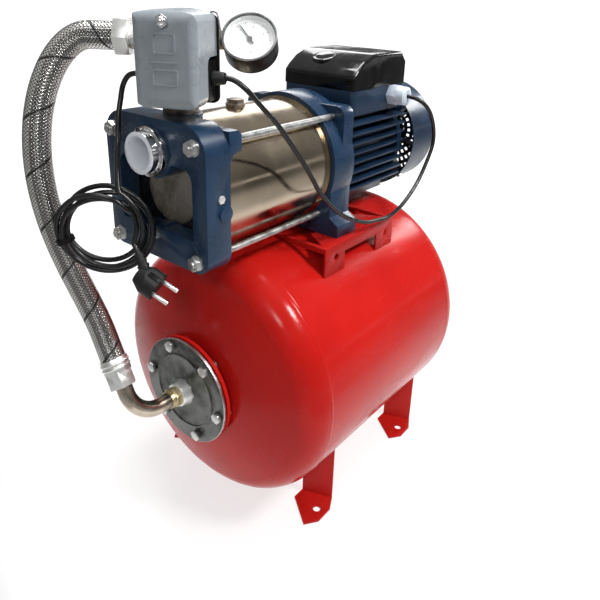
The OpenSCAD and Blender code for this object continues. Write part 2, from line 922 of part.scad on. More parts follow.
// The frame of the elbow's outlet: x stays along the tank, z points out of the tube
module at_elbow() {
    translate([elbow_x, 0, tank_z]) rotate([elbow_rise - 90, 0, 0]) children();
}

module elbow_tube() {
    r = elbow_d / 2;
    inner = r - elbow_wall;
    out_l = elbow_bend_r + elbow_out_l + low_nut_l + low_ferrule_l / 2;
    in_x = -elbow_x + adapter_x + adapter_l * 0.7;
    color("silver") at_elbow() difference() {
        union() {
            rod_x(elbow_bend_r, in_x, r);
            translate([elbow_bend_r, 0, elbow_bend_r]) rotate([90, 0, 0]) rotate([0, 0, 180])
                rotate_extrude(angle = 90) translate([elbow_bend_r, 0]) circle(r);
            translate([0, 0, elbow_bend_r]) cylinder(h = out_l - elbow_bend_r, r = r);
        }
        rod_x(elbow_bend_r, in_x + cut, inner);
        translate([elbow_bend_r, 0, elbow_bend_r]) rotate([90, 0, 0]) rotate([0, 0, 180])
            rotate_extrude(angle = 90) translate([elbow_bend_r, 0]) circle(inner);
        translate([0, 0, elbow_bend_r]) cylinder(h = out_l - elbow_bend_r + cut, r = inner);
    }
}

module lower_hose_nut() {
    z0 = elbow_bend_r + elbow_out_l + seat;
    z1 = z0 + low_nut_l;
    color("silver") at_elbow() difference() {
        union() {
            hex_z(z0, z1, low_nut_af);
            translate([0, 0, z1 - cut])
                cylinder(h = low_ferrule_l + cut, d = low_ferrule_d);
            for (k = [1, 2]) translate([0, 0, z1 + low_ferrule_l * k / 3])
                rotate_extrude() translate([low_ferrule_d / 2 - ferrule_rib_in, 0])
                    circle(r = ferrule_rib_r, $fn = 24);
        }
        translate([0, 0, z0 - cut])
            cylinder(h = low_nut_l + low_ferrule_l / 2 + cut, d = elbow_d + seat);
        translate([0, 0, z1]) cylinder(h = low_ferrule_l + cut, d = elbow_d + seat);
    }
}

hose_out = [sin(fitting_turn), -cos(fitting_turn), 0];
hose_down = [0, cos(elbow_rise), sin(elbow_rise)];
hose_from = [port_x, 0, cross_z] + hose_at * hose_out;
hose_to = [elbow_x, 0, tank_z]
    + (elbow_bend_r + elbow_out_l + 2 * seat + low_nut_l + low_ferrule_l) * hose_down;
hose_control = [
    hose_from + hose_d * hose_out, hose_from + (hose_d + hose_start_pull) * hose_out,
    hose_bulge, hose_to + (hose_d + hose_end_pull) * hose_down, hose_to + hose_d * hose_down];
hose_path = concat([hose_from], [for (i = [0:hose_steps]) bezier(hose_control, i / hose_steps)],
    [hose_to]);

module braided_hose() {
    color("gainsboro") sweep(hose_path, hose_d / 2, 12);
}

module upper_hose_nut() {
    color("whitesmoke") at_fitting() translate([0, 0, cross_z]) rotate([90, 0, 0])
        difference() {
            union() {
                hex_z(hose_nut_at, hose_nut_at + hose_nut_l - hose_nut_lip - seat, hose_nut_af);
            }
            translate([0, 0, hose_nut_at - cut])
                cylinder(h = hose_nut_l + 2 * cut, r = arm_r + seat);
        }
}

module five_way_fitting() {
    top = cross_h + barrel_top;
    side_turn = switch_turn - fitting_turn;
    side_z = small_port_z - cast_top_z;
    color("goldenrod") at_fitting() translate([0, 0, cast_top_z]) difference() {
        union() {
            translate([0, 0, -port_depth]) cylinder(h = port_depth + cut, r = port_bore_r - seat);
            translate([0, 0, seat]) cylinder(h = base_h, r = base_r);
            translate([0, 0, seat]) cylinder(h = top, r = barrel_r);
            rotate([0, 0, side_turn + 30])
                hex_z(top - arm_hex_l, top + seat, 2 * (switch_back - top_hex_drop));
            translate([0, 0, cross_h]) rotate([90, 0, 0]) {
                cylinder(h = hose_nut_at + hose_nut_l - hose_nut_lip - seat, r = arm_r);
                hex_z(barrel_r - cut, barrel_r + arm_hex_l, arm_hex_af);
            }
            translate([0, 0, cross_h]) rotate([-90, 0, 0])
                cylinder(h = barrel_r + gauge_boss_l, r = gauge_boss_r);
            rotate([0, 0, side_turn]) translate([0, 0, side_z]) rotate([0, 90, 0])
                cylinder(h = switch_back - seat, r = small_boss_r);
        }
        translate([0, 0, -port_depth - cut])
            cylinder(h = port_depth + cross_h + cut, r = port_bore_r - port_wall);
        translate([0, 0, cross_h]) cylinder(h = barrel_top + cut, d = barrel_bore_d);
        translate([0, 0, cross_h]) rotate([90, 0, 0])
            cylinder(h = hose_nut_at + hose_nut_l, d = hose_bore_d);
        translate([0, 0, cross_h]) rotate([-90, 0, 0])
            cylinder(h = barrel_r + gauge_boss_l + cut, r = small_pipe_r);
        rotate([0, 0, side_turn]) translate([0, 0, side_z]) rotate([0, 90, 0])
            cylinder(h = switch_back + cut, r = small_pipe_r);
    }
}

module cast_outline() {
    w = cast_half_w;
    intersection() {
        round_rect([-w, -cast_low_h], [w, cast_top_h], cast_low_r);
        union() {
            translate([-w, -cast_low_h]) square([2 * w, cast_low_h]);
            round_rect([-w, -cast_low_h], [w, cast_top_h], cast_top_r);
        }
    }
}

module mouth_outline() {
    w = mouth_half_w;
    difference() {
        union() {
            round_rect([-w, -mouth_low_h], [w, mouth_top_h], mouth_r);
            round_rect([-w, -mouth_low_h], [w, 0], mouth_low_r);
        }
        translate([0, suction_h]) circle(nipple_boss_r);
        translate([0, drain_z]) circle(drain_r + bolt_clear + seat * cast_lug_h);
    }
}

// A bar along y whose hollow side rounds off an inner corner
module fillet_bar(r, l) {
    rotate([90, 0, 0]) linear_extrude(l) difference() {
        square([r, r]);
        translate([r, r]) circle(r);
    }
}

module front_casting() {
    lug_out = cast_half_w;
    lug_in = rod_y - cast_lug_h;
    color("midnightblue") at_pump() difference() {
        union() {
            across_x(cast_x0, cast_x1) difference() {
                cast_outline();
                mouth_outline();
                translate([0, suction_h]) circle(suction_d / 2 + seat);
            }
            for (side = [0, 1]) mirror([0, side, 0]) {
                block([cast_x1 - cut, lug_in, rod_z - cast_lug_low],
                    [cast_x1 + cast_lug_l, lug_out, rod_z + cast_lug_h]);
                translate([cast_x1, lug_out, rod_z - cast_lug_low]) mirror([0, 0, 1])
                    fillet_bar(cast_fillet_r, lug_out - lug_in);
            }
            translate([port_x, 0, shell_r - shell_wall])
                cylinder(h = cast_top_h - shell_r + shell_wall, r = port_r);
            block([cast_x1 - cut, -port_r, shell_r - shell_wall], [port_x, port_r, cast_top_h]);
            translate([cast_x1 - side_boss_r, -cast_half_w - side_boss_out, side_boss_h])
                rotate([-90, 0, 0]) cylinder(h = side_boss_out + cut, r = side_boss_r);
        }
        rod_x(shell_x0 - seat, port_x + port_r + cut, shell_r + seat);
        rod_x(cover_x0 - cover_t / 2 - seat, shell_x0, shell_r - shell_wall);
        at_rods() rod_x(cast_x0 - cut, cast_x1 + cast_lug_l + cut, (rod_d + bolt_clear) / 2);
        translate([port_x, 0, shell_r - shell_wall - cut])
            cylinder(h = cast_top_h, r = port_bore_r);
        translate([0, 0, drain_z]) rod_x(cast_x0 - cut, cast_x0 + drain_root_l + seat,
            drain_r + seat / 2);
        translate([vent_x, 0, vent_h]) rotate([90, 0, 0])
            cylinder(h = cast_half_w + cut, r = vent_r + seat / 2);
        translate([cast_x1 + cast_lug_l, 0, rod_z + cast_lug_h]) rotate([0, 45, 0])
            cube([cast_lug_h / 2, 2 * cast_half_w + cut, cast_lug_h / 2], center = true);
    }
}

module front_cover() {
    r = shell_r - shell_wall - seat;
    color("silver") at_pump() difference() {
        union() {
            rod_x(cover_x0, cover_x0 + cover_t, r);
            ring_x(cover_x0, cover_x0 + cover_t + cover_rim_w, r, r - cover_t);
            ring_x(cover_x0 - cover_t / 2, cover_x0 + cover_t, r * 0.55, r * 0.5);
        }
        translate([0, 0, suction_h])
            rod_x(cover_x0 - cover_t, cover_x0 + cover_t + cover_rim_w + cut,
                suction_d / 2 - suction_wall);
    }
}

module suction_nipple() {
    x0 = cast_x0 - suction_reach;
    r = suction_d / 2;
    color("gainsboro") at_pump() translate([0, 0, suction_h]) difference() {
        union() {
            rod_x(x0, cover_x0 - cover_t / 2 - seat, r);
            rod_x(cast_x0 - nipple_collar_l, cast_x0 - seat, r + nipple_collar_rise, $fn = 12);
        }
        rod_x(x0 - cut, cover_x0 + cut, r - suction_wall);
    }
}

module nipple_liner() {
    x0 = cast_x0 - suction_reach;
    r = suction_d / 2 - suction_wall - seat / 2;
    color("white") at_pump() translate([0, 0, suction_h]) difference() {
        union() {
            rod_x(x0, cover_x0 - cover_t, r);
            ring_x(x0 - liner_wall, x0 + seat / 2 - seat / 2, suction_d / 2, r - liner_wall);
        }
        rod_x(x0 - liner_wall - cut, cover_x0 + cut, r - liner_wall);
    }
}

module pump_shell() {
    color("silver") at_pump() difference() {
        union() {
            rod_x(shell_x0, shell_x1, shell_r);
            ring_x(bracket_x0 - bead_w - seat, bracket_x0 - seat, bead_r, shell_r - cut);
            translate([filler_x, 0, 0])
                cylinder(h = shell_r + filler_boss_h, r = filler_boss_r);
        }
        rod_x(shell_x0 - cut, shell_x1 + cut, shell_r - shell_wall);
        translate([port_x, 0, 0]) cylinder(h = shell_r + cut, r = port_bore_r);
        translate([filler_x, 0, 0])
            cylinder(h = shell_r + filler_boss_h + cut, r = filler_boss_r / 2 + seat / 2);
    }
}

module filler_plug() {
    z = shell_r + filler_boss_h;
    color("rosybrown") at_pump() translate([filler_x, 0, 0]) {
        translate([0, 0, z - filler_root_h])
            cylinder(h = filler_root_h + cut, r = filler_boss_r / 2);
        translate([0, 0, z]) cylinder(h = filler_head_h / 4, r = filler_boss_r);
        hex_z(z, z + filler_head_h, filler_af);
    }
}

module drain_plug() {
    color("silver") at_pump() translate([0, 0, drain_z]) {
        rod_x(cast_x0 - cut, cast_x0 + drain_root_l, drain_r);
        hex_x(cast_x0 - drain_head_l, cast_x0, 2.2 * drain_r);
    }
}

module vent_screw() {
    color("silver") at_pump() translate([vent_x, -cast_half_w, vent_h]) rotate([90, 0, 0]) {
        translate([0, 0, -drain_root_l]) cylinder(h = drain_root_l + cut, r = vent_r);
        hex_z(0, vent_head_t, 2.2 * vent_r);
    }
}

module tie_rods() {
    x0 = cast_x0 - rod_nut_t - rod_end;
    color("silver") at_pump() at_rods() rod_x(x0, lug_front_x + rod_grip, rod_d / 2);
}

module tie_rod_nuts() {
    color("silver") at_pump() at_rods() difference() {
        union() {
            hex_x(cast_x0 - rod_nut_t, cast_x0 - cover_t, rod_nut_af);
            rod_x(cast_x0 - cover_t, cast_x0, rod_nut_af * 0.6);
        }
        rod_x(cast_x0 - rod_nut_t - cut, cast_x0 + cut, rod_d / 2 + run_clear);
    }
}

module motor_bracket() {
    w = flange_half_w;
    foot_half = bracket_foot_w / 2;
    seal_x0 = bracket_back_x - bearing_w - bearing_seat_wall;
    color("midnightblue") at_pump() difference() {
        union() {
            rod_x(bracket_x0, bracket_back_x, collar_d / 2);
            across_x(lug_front_x, bracket_back_x)
                round_rect([-w, -rod_z - cast_lug_h], [w, rod_z + cast_lug_h], flange_corner_r / 2);
            across_x(bracket_x0, bracket_back_x) polygon([
                [-w, -rod_z / 2], [w, -rod_z / 2], [w, -axis_h + foot_plate_h * 1.6],
                [foot_half, -axis_h + foot_plate_h], [foot_half, -axis_h],
                [-foot_half, -axis_h], [-foot_half, -axis_h + foot_plate_h],
                [-w, -axis_h + foot_plate_h * 1.6]]);
        }
        rod_x(bracket_x0 - cut, shell_x1 + seat, shell_r + seat);
        rod_x(bracket_x0 - cut, seal_x0 - bearing_seat_wall, shell_r - shell_wall - stage_wall);
        rod_x(bracket_x0, bracket_back_x + cut, shaft_d / 2 + 2);
        rod_x(seal_x0 - bearing_seat_wall - cut, seal_x0 - bearing_seat_wall + seal_l,
            seal_r + seat);
        rod_x(bracket_back_x - bearing_w, bracket_back_x + cut, bearing_d / 2 + run_clear);
        at_rods() rod_x(bracket_x0 - cut, lug_front_x + rod_grip + seat,
            (rod_d + bolt_clear) / 2);
        for (side = [-1, 1] * table_bolt_y)
            translate([(bracket_x0 + bracket_back_x) / 2, side, -axis_h - cut])
                cylinder(h = table_bolt_in + seat + cut, d = table_bolt_d + bolt_clear);
    }
}

module diffusers() {
    color("lightgray") at_pump() for (i = [0:stage_n - 1]) {
        x0 = stage_x0 + i * stage_l;
        x1 = x0 + stage_l - stage_gap;
        ring_x(x0, x1, stage_r, stage_r - stage_wall);
        ring_x(x1 - stage_web, x1, stage_r - stage_wall + seat, impeller_hub_r + impeller_gap);
    }
}

module impeller(x) {
    r = impeller_d / 2;
    ring_x(x, x + impeller_disc, r, impeller_eye_r);
    ring_x(x + impeller_w - impeller_disc, x + impeller_w, r, pump_shaft_d / 2 + run_clear);
    ring_x(x + impeller_disc, x + impeller_w + impeller_gap + stage_web, impeller_hub_r,
        pump_shaft_d / 2 + run_clear);
    for (k = [0:vane_n - 1]) rotate([360 * k / vane_n, 0, 0])
        translate([x + impeller_disc / 2, -vane_t / 2, impeller_eye_r])
            rotate([vane_turn, 0, 0])
                cube([impeller_w - impeller_disc, vane_t, (r - impeller_eye_r) * 0.9]);
}

module impellers() {
    color("silver") at_pump() for (i = [0:stage_n - 1])
        impeller(stage_x0 + i * stage_l + stage_l - stage_web - stage_gap - impeller_w
            - impeller_gap);
}

module seal_seat() {
    x0 = bracket_back_x - bearing_w - 2 * bearing_seat_wall;
    color("ivory") at_pump() ring_x(x0, x0 + seal_l - seat, seal_r, shaft_d / 2 + 1);
}

module rotor_shaft() {
    color("silver") at_pump() {
        rod_x(shaft_x0, shaft_step_x, pump_shaft_d / 2);
        rod_x(shaft_step_x - pump_shaft_d / 2, shaft_x1, shaft_d / 2);
    }
}

module rotor_core() {
    color("dimgray") at_pump()
        ring_x(stack_x0, stack_x0 + stack_l, rotor_d / 2, shaft_d / 2 + run_clear);
}

module stator() {
    inner = rotor_d / 2 + air_gap;
    color("sienna") at_pump() {
        ring_x(stack_x0, stack_x0 + stack_l, frame_bore_r - seat / 4, inner);
        for (x = [stack_x0 - frame_wall * 3, stack_x0 + stack_l])
            ring_x(x, x + frame_wall * 3, frame_bore_r - frame_wall, inner + frame_wall);
    }
}

module bearings() {
    color("silver") at_pump() for (x = [bracket_back_x - bearing_w,
            frame_x1 - bearing_w + bearing_seat_wall])
        ring_x(x + seat, x + bearing_w, bearing_d / 2, shaft_d / 2 + run_clear);
}

// Reach of a side fin at the height z: the lower ones follow a circle
function fin_end(z) = min(fin_reach, sqrt(max(pow(cowl_r, 2) - pow(z, 2), 0)));

module motor_frame() {
    color("midnightblue") at_pump() difference() {
        union() {
            rod_x(bracket_back_x + seat, frame_x1, frame_r);
            for (i = [0:fin_n - 1]) {
                z = fin_pitch * (fin_n * low_row_share - i);
                block([bracket_back_x + seat, -fin_end(z), z - fin_t / 2],
                    [frame_x1, fin_end(z), z + fin_t / 2]);
            }
            for (i = [0:low_fin_n - 1]) {
                y = low_fin_pitch * (i - (low_fin_n - 1) / 2);
                block([bracket_back_x + seat, y - fin_t / 2, -low_fin_reach],
                    [frame_x1, y + fin_t / 2, 0]);
            }
            difference() {
                translate([0, 0, box_z0]) linear_extrude(box_base_h)
                    round_rect([box_x0, -box_w / 2], [box_x1, box_w / 2], box_r);
                translate([0, 0, box_z0 + box_wall]) linear_extrude(box_base_h)
                    round_rect([box_x0 + box_wall, -box_w / 2 + box_wall],
                        [box_x1 - box_wall, box_w / 2 - box_wall], box_r / 2);
            }
            block([box_x0, -box_w / 3, 0], [frame_x1, box_w / 3, box_z0 + box_wall]);
        }
        rod_x(bracket_back_x - cut, frame_x1 + cut, frame_bore_r);
        translate([gland_x, -box_w / 2 + box_wall + cut, gland_z]) rotate([90, 0, 0])
            cylinder(h = box_wall + 2 * cut, r = gland_thread_r + seat);
    }
}

module rear_shield() {
    bore = bearing_d / 2;
    color("midnightblue") at_pump() difference() {
        union() {
            rod_x(frame_x1 + seat, shield_x1, shield_r);
            rod_x(frame_x1 - frame_wall, frame_x1 + cut, frame_bore_r - seat);
            for (a = [45:90:315]) rotate([a, 0, 0]) block(
                [shield_x1 - cowl_lug_foot, -cowl_lug_w / 2, frame_r - frame_wall],
                [shield_x1 + cowl_lug_l, cowl_lug_w / 2, cowl_r - cowl_wall - cowl_taper / 2 - cowl_lug_drop]);
        }
        rod_x(frame_x1 - frame_wall - cut, frame_x1 - bearing_w + bearing_seat_wall + bearing_w,
            bore + run_clear);
        rod_x(frame_x1, shield_x1 + cut, shaft_d / 2 + 1);
        for (a = [45:90:315]) rotate([a, 0, 0])
            translate([shield_x1 + cowl_lug_l / 2, 0, cowl_r - cowl_lug_sink - cowl_wall])
                cylinder(h = cowl_lug_sink + cut, r = cowl_screw_d / 2 + seat / 2);
        rod_x(shield_x1, shield_x1 + cowl_lug_l + cut, frame_r - frame_wall);
        block([frame_x1 - cut, -box_w / 2, box_z0 - seat],
            [box_x1 + seat, box_w / 2, shield_r + cut]);
    }
}

module cowl_section(inset) {
    x1 = cowl_l - inset;
    r1 = cowl_r - cowl_taper - inset;
    polygon([[0, -cut], [cowl_r - inset, -cut], [cowl_r - inset, 0],
        [r1, x1 - cowl_chamfer], [r1 - cowl_chamfer, x1], [0, x1]]);
}

module fan_cover() {
    slots = cowl_r - cowl_taper - cowl_chamfer - grille_hole;
    color("midnightblue") at_pump() difference() {
        translate([cowl_x0, 0, 0]) rotate([0, 90, 0]) rotate_extrude($fn = 96)
            difference() {
                cowl_section(0);
                cowl_section(cowl_wall);
                translate([0, -2 * cut]) square([cowl_r + cut, 2 * cut]);
            }
        for (k = [1:grille_rings]) {
            n = 2 * floor(3.14 * k * slots / grille_rings / grille_pitch);
            for (i = [0:n - 1]) rotate([360 * i / n, 0, 0])
                translate([cowl_x1, 0, k * slots / grille_rings])
                    cube([3 * cowl_wall + 2 * cut, grille_hole * 0.8, grille_hole * 0.9],
                        center = true);
        }
        for (a = [45:90:315]) rotate([a, 0, 0])
            translate([shield_x1 + cowl_lug_l / 2, 0, cowl_r / 2])
                cylinder(h = cowl_r, r = cowl_screw_d / 2 + seat);
    }
}

module cover_screws() {
    color("silver") at_pump() for (a = [45:90:315]) rotate([a, 0, 0])
        translate([shield_x1 + cowl_lug_l / 2, 0, 0]) {
            translate([0, 0, cowl_r - cowl_lug_sink - cowl_wall + seat])
                cylinder(h = cowl_lug_sink + cowl_wall, r = cowl_screw_d / 2);
            translate([0, 0, cowl_r + seat / 2])
                cylinder(h = cowl_screw_head_t, d = cowl_screw_head);
        }
}

module cooling_fan() {
    color("black") at_pump() {
        ring_x(fan_x0, fan_x0 + fan_w, fan_hub_r, shaft_d / 2 + run_clear);
        ring_x(fan_x0, fan_x0 + fan_plate_t, fan_d * 0.36, fan_hub_r - cut);
        for (k = [0:blade_n - 1]) rotate([360 * k / blade_n, 0, 0])
            block([fan_x0, -blade_t / 2, fan_hub_r - cut],
                [fan_x0 + fan_w * 0.85, blade_t / 2, fan_d / 2]);
    }
}

module lid_solid(inset) {
    x0 = box_x0 + inset;
    x1 = box_x1 - inset;
    w = box_w / 2 - inset;
    h = lid_h - inset;
    low = inset > 0 ? -cut : 0;
    mid_x = (box_x0 + box_x1) / 2;
    intersection() {
        translate([0, 0, box_z1 + low]) linear_extrude(h - low)
            round_rect([x0, -w], [x1, w], lid_r - inset);
        across_x(x0, x1) translate([0, box_z1]) round_rect([-w, -h], [w, h], lid_edge_r - inset);
        translate([0, w + cut, box_z1]) rotate([90, 0, 0]) linear_extrude(2 * w + 2 * cut)
            polygon([[x0, low], [x1, low], [x1, h - lid_edge_r / 2], [x1 - lid_edge_r / 2, h],
                [box_x0 + lid_slope_l, h], [x0, lid_front_h - inset]]);
    }
    translate([0, 0, box_z1]) linear_extrude(h + lid_rise) round_rect(
        [mid_x - lid_mid_l / 2 + inset, -lid_mid_w / 2 + inset],
        [mid_x + lid_mid_l / 2 - inset, lid_mid_w / 2 - inset], lid_r);
    translate([cap_x0 + cap_l / 2, cap_y, box_z1]) cylinder(h = h + lid_slope / 2,
        r = cap_dome_r - inset);
}

module terminal_cover() {
    color("black") at_pump() difference() {
        translate([0, 0, seat]) lid_solid(0);
        lid_solid(lid_wall);
    }
}

module terminal_block() {
    color("black") at_pump() translate([gland_x, 0, box_z0 + box_wall + seat]) {
        block([-block_w / 2, -block_l / 2, 0], [block_w / 2, block_l / 2, block_h]);
        for (i = [-1, 0, 1]) translate([0, i * block_l / 4, block_h - cut])
            cylinder(h = block_h / 2, r = vent_r / 2);
    }
}

module capacitor() {
    color("silver") at_pump()
        translate([0, cap_y, box_z0 + box_wall + cap_r + seat]) rod_x(cap_x0, cap_x0 + cap_l, cap_r);
}

module cable_gland() {
    y = box_w / 2;
    color("gainsboro") at_pump() translate([gland_x, 0, gland_z]) rotate([90, 0, 0])
        difference() {
            union() {
                translate([0, 0, y - box_wall - seat]) cylinder(h = box_wall + 2 * seat + cut,
                    r = gland_thread_r);
                hex_z(y + seat, y + gland_seat_l, gland_d * 0.98);
                translate([0, 0, y + gland_seat_l - cut])
                    cylinder(h = gland_nut_l - cut, d = gland_d);
                translate([0, 0, y + gland_l - 3 * cut])
                    cylinder(h = 3 * cut, r1 = gland_d / 2, r2 = gland_d * 0.38);
            }
            translate([0, 0, y - box_wall - cut]) cylinder(h = gland_l + box_wall + 2 * cut,
                r = flex_d / 2 + bolt_clear / 2);
        }
}

// The switch's outline grown inwards by inset: rounded edges and an arched top
module switch_solid(inset) {
    top = switch_side_h + switch_crown - inset;
    half = switch_w / 2 - inset;
    dome_r = (pow(switch_w / 2, 2) + pow(switch_crown, 2)) / (2 * switch_crown) - inset;
    intersection() {
        linear_extrude(top) round_rect([switch_x0 - switch_round, switch_shift - half],
            [switch_x1 - inset, switch_shift + half], switch_round - inset);
        across_x(switch_x0 + switch_sheet + (inset > 0 ? -cut : seat), switch_x1)
            translate([switch_shift, 0]) intersection() {
                round_rect([-half, inset], [half, top], switch_top_r - inset);
                translate([0, top - dome_r]) circle(dome_r, $fn = 96);
            }
        translate([0, switch_y1 + cut, 0]) rotate([90, 0, 0]) linear_extrude(switch_w + 2 * cut)
            round_rect([0, inset], [switch_x1 - inset, top], switch_top_r - inset);
    }
}

// A raised frame on the cover's front, between two corners in y and z
module relief_frame(a, b) {
    across_x(switch_x1 - cut, switch_x1 + relief_deep) difference() {
        round_rect(a, b, 2 * relief_rib);
        round_rect(a + [relief_rib, relief_rib], b - [relief_rib, relief_rib], relief_rib);
    }
}

module switch_cover() {
    y = relief_y;
    w = relief_w / 2;
    color("slategray") at_switch() translate([0, 0, switch_z]) difference() {
        union() {
            switch_solid(0);
            relief_frame([y - w, relief_low[0]], [y + w, relief_low[1]]);
            relief_frame([y - relief_high_w / 2, relief_high[0]],
                [y + relief_high_w / 2, relief_high[1]]);
            block([switch_x1 - cut, y - w, relief_bar_z],
                [switch_x1 + relief_deep, y + w, relief_bar_z + relief_rib]);
        }
        switch_solid(switch_wall);
        translate([0, switch_y1 + cut, 0]) rotate([90, 0, 0]) linear_extrude(switch_w + 2 * cut)
            round_rect([switch_x0 - switch_round, -2 * switch_round],
                [switch_x0 + notch_l, notch_h], switch_round);
        translate([0, cover_stud_y, cover_stud_h])
            rod_x(switch_x1 - 2 * switch_wall, switch_x1 + cut, stud_d / 2 + seat);
    }
}

module switch_plate() {
    color("gray") at_switch() translate([0, 0, switch_z]) difference() {
        union() {
            across_x(switch_x0, switch_x0 + switch_sheet)
                round_rect([switch_y0 - switch_rim, 0], [switch_y1 + switch_rim, switch_side_h],
                    switch_round);
            block([switch_x0, switch_y0 + switch_top_r, tray_z],
                [switch_x1 - switch_top_r, switch_y1 - switch_top_r, tray_z + tray_t]);
            translate([stud_x, switch_shift, tray_z]) cylinder(h = stud_top - tray_z, r = stud_d / 2);
        }
        translate([0, 0, small_port_z - switch_z])
            rod_x(switch_x0 - cut, switch_x0 + switch_sheet + cut, small_pipe_r + seat);
        translate([0, cover_stud_y, cover_stud_h])
            rod_x(switch_x0 - cut, switch_x0 + switch_sheet + cut, stud_d / 2 + run_clear);
    }
}

module switch_nuts() {
    spring_top = spring_z - switch_z + spring_h + seat;
    color("silver") at_switch() translate([0, 0, switch_z]) {
        difference() {
            translate([stud_x, switch_shift, 0])
                hex_z(spring_top, spring_top + acorn_h / 2, 2 * spring_r);
            translate([stud_x, switch_shift, 0])
                cylinder(h = switch_side_h, r = stud_d / 2 + run_clear);
        }
        translate([0, cover_stud_y, cover_stud_h]) {
            rod_x(switch_x0, switch_x1 + acorn_h / 2, stud_d / 2);
            hex_x(switch_x1 + seat, switch_x1 + seat + acorn_h / 2, nut_af);
            translate([switch_x1 + acorn_h / 2, 0, 0]) sphere(r = nut_af * 0.45);
        }
    }
}

module switch_block() {
    x0 = switch_x0 + switch_sheet + seat;
    z0 = tray_z + tray_t + seat;
    pin_z = lever_z - switch_z;
    color("black") at_switch() translate([0, 0, switch_z]) difference() {
        union() {
            block([x0, switch_y0 + block_in, z0], [block_x1, switch_y1 - block_in, block_high]);
            for (side = [0, 1]) translate([0, switch_shift, 0]) mirror([0, side, 0])
                block([block_x1 - cut, lever_w / 2 + seat, pin_z - ear_half],
                    [lever_pin_x + ear_half, lever_w / 2 + seat + ear_t, pin_z + ear_half]);
        }
        translate([lever_pin_x, switch_shift, pin_z]) rotate([90, 0, 0])
            cylinder(h = lever_w + 4 * ear_t, r = lever_pin_r + run_clear, center = true);
        translate([0, 0, small_port_z - switch_z])
            rod_x(x0 - cut, switch_x0 + small_pipe_out + seat, small_pipe_r + seat);
        translate([grommet_x, 0, grommet_z - switch_z]) rotate([90, 0, 0]) {
            translate([0, 0, -switch_y0 - block_in - grommet_plug_l - seat])
                cylinder(h = grommet_plug_l + cut + seat, r = grommet_r * 0.7 + seat);
            translate([0, 0, -switch_y1 + block_in - cut])
                cylinder(h = grommet_plug_l + cut + seat, r = grommet_r * 0.7 + seat);
        }
    }
}

module switch_spring() {
    color("silver") at_switch() translate([stud_x, switch_shift, spring_z]) difference() {
        cylinder(h = spring_h, r = spring_r);
        translate([0, 0, -cut]) cylinder(h = spring_h + 2 * cut, r = spring_r - spring_wall);
    }
}

module switch_lever() {
    pin_half = lever_w / 2 + seat + ear_t;
    color("gold") at_switch() translate([lever_pin_x, switch_shift, lever_z]) {
        difference() {
            block([0, -lever_w / 2, 0], [lever_l, lever_w / 2, lever_t]);
            translate([stud_x - lever_pin_x, 0, -cut])
                cylinder(h = lever_t + 2 * cut, r = stud_d / 2 + cut);
        }
        translate([0, -pin_half, 0]) rotate([-90, 0, 0])
            cylinder(h = 2 * pin_half, r = lever_pin_r);
    }
}

module switch_nipple() {
    color("gold") at_switch() translate([0, 0, small_port_z])
        rod_x(barrel_r - small_pipe_in, switch_x0 + small_pipe_out, small_pipe_r - seat);
}

module grommet() {
    difference() {
        union() {
            cylinder(h = grommet_l, r1 = grommet_r, r2 = grommet_r * 0.75);
            translate([0, 0, -grommet_plug_l])
                cylinder(h = grommet_plug_l + cut, r = grommet_r * 0.7);
        }
        translate([0, 0, -grommet_plug_l - cut])
            cylinder(h = grommet_l + grommet_plug_l + 2 * cut, r = flex_d / 2 + bolt_clear / 2);
    }
}

module switch_grommets() {
    y0 = switch_y0 + block_in - seat;
    y1 = switch_y1 - block_in + seat;
    color("black") at_switch() {
        translate([grommet_x, y0, grommet_z]) rotate([90, 0, 0]) grommet();
        translate([grommet_x, y1, grommet_z]) rotate([-90, 0, 0]) grommet();
    }
}

module at_gauge() {
    at_fitting() translate([0, gauge_at, cross_z - gauge_drop]) rotate([0, gauge_tilt, 0]) children();
}

module gauge_case() {
    h = gauge_t / 2;
    color("black") {
        at_gauge() difference() {
            union() {
                translate([0, 0, -h]) cylinder(h = gauge_t, r = gauge_r);
            }
            translate([0, 0, -h + gauge_wall]) cylinder(h = gauge_t, r = gauge_r - gauge_wall);
        }
        at_fitting() translate([0, 0, cross_z]) rotate([-90, 0, 0]) {
            hex_z(barrel_r + gauge_boss_l + seat, gauge_at - gauge_r + gauge_wall / 2,
                gauge_hex_af);
            translate([0, 0, barrel_r + cut]) cylinder(h = gauge_boss_l, r = small_pipe_r - seat);
        }
    }
}

module gauge_dial() {
    color("white") at_gauge() difference() {
        union() {
            translate([0, 0, gauge_t / 2 - dial_deep - dial_t])
                cylinder(h = dial_t, r = gauge_r - gauge_wall - seat);
            translate([0, 0, -gauge_t / 2 + gauge_wall]) cylinder(
                h = gauge_t - gauge_wall - dial_deep, r = gauge_r / 2);
        }
        translate([0, 0, gauge_t / 2 - dial_deep - 2 * dial_t])
            cylinder(h = 3 * dial_t, r = needle_pin_r + run_clear);
    }
}

module gauge_lens() {
    color("lightcyan", 0.4) at_gauge() translate([0, 0, gauge_t / 2 - lens_t])
        cylinder(h = lens_t, r = gauge_r - gauge_wall - seat / 4);
}

module gauge_needle() {
    z = gauge_t / 2 - dial_deep;
    color("black") at_gauge() rotate([0, 0, needle_angle]) {
        translate([0, 0, z - dial_t]) cylinder(h = dial_t + needle_lift, r = needle_pin_r);
        translate([0, 0, z + needle_lift - needle_t])
            cylinder(h = 2 * needle_t, r = needle_hub_r);
        translate([0, 0, z + needle_lift - needle_t / 2]) linear_extrude(needle_t)
            polygon([[-needle_tail, -needle_w / 2], [-needle_tail, needle_w / 2],
                [needle_l, needle_w / 8], [needle_l, -needle_w / 8]]);
    }
}

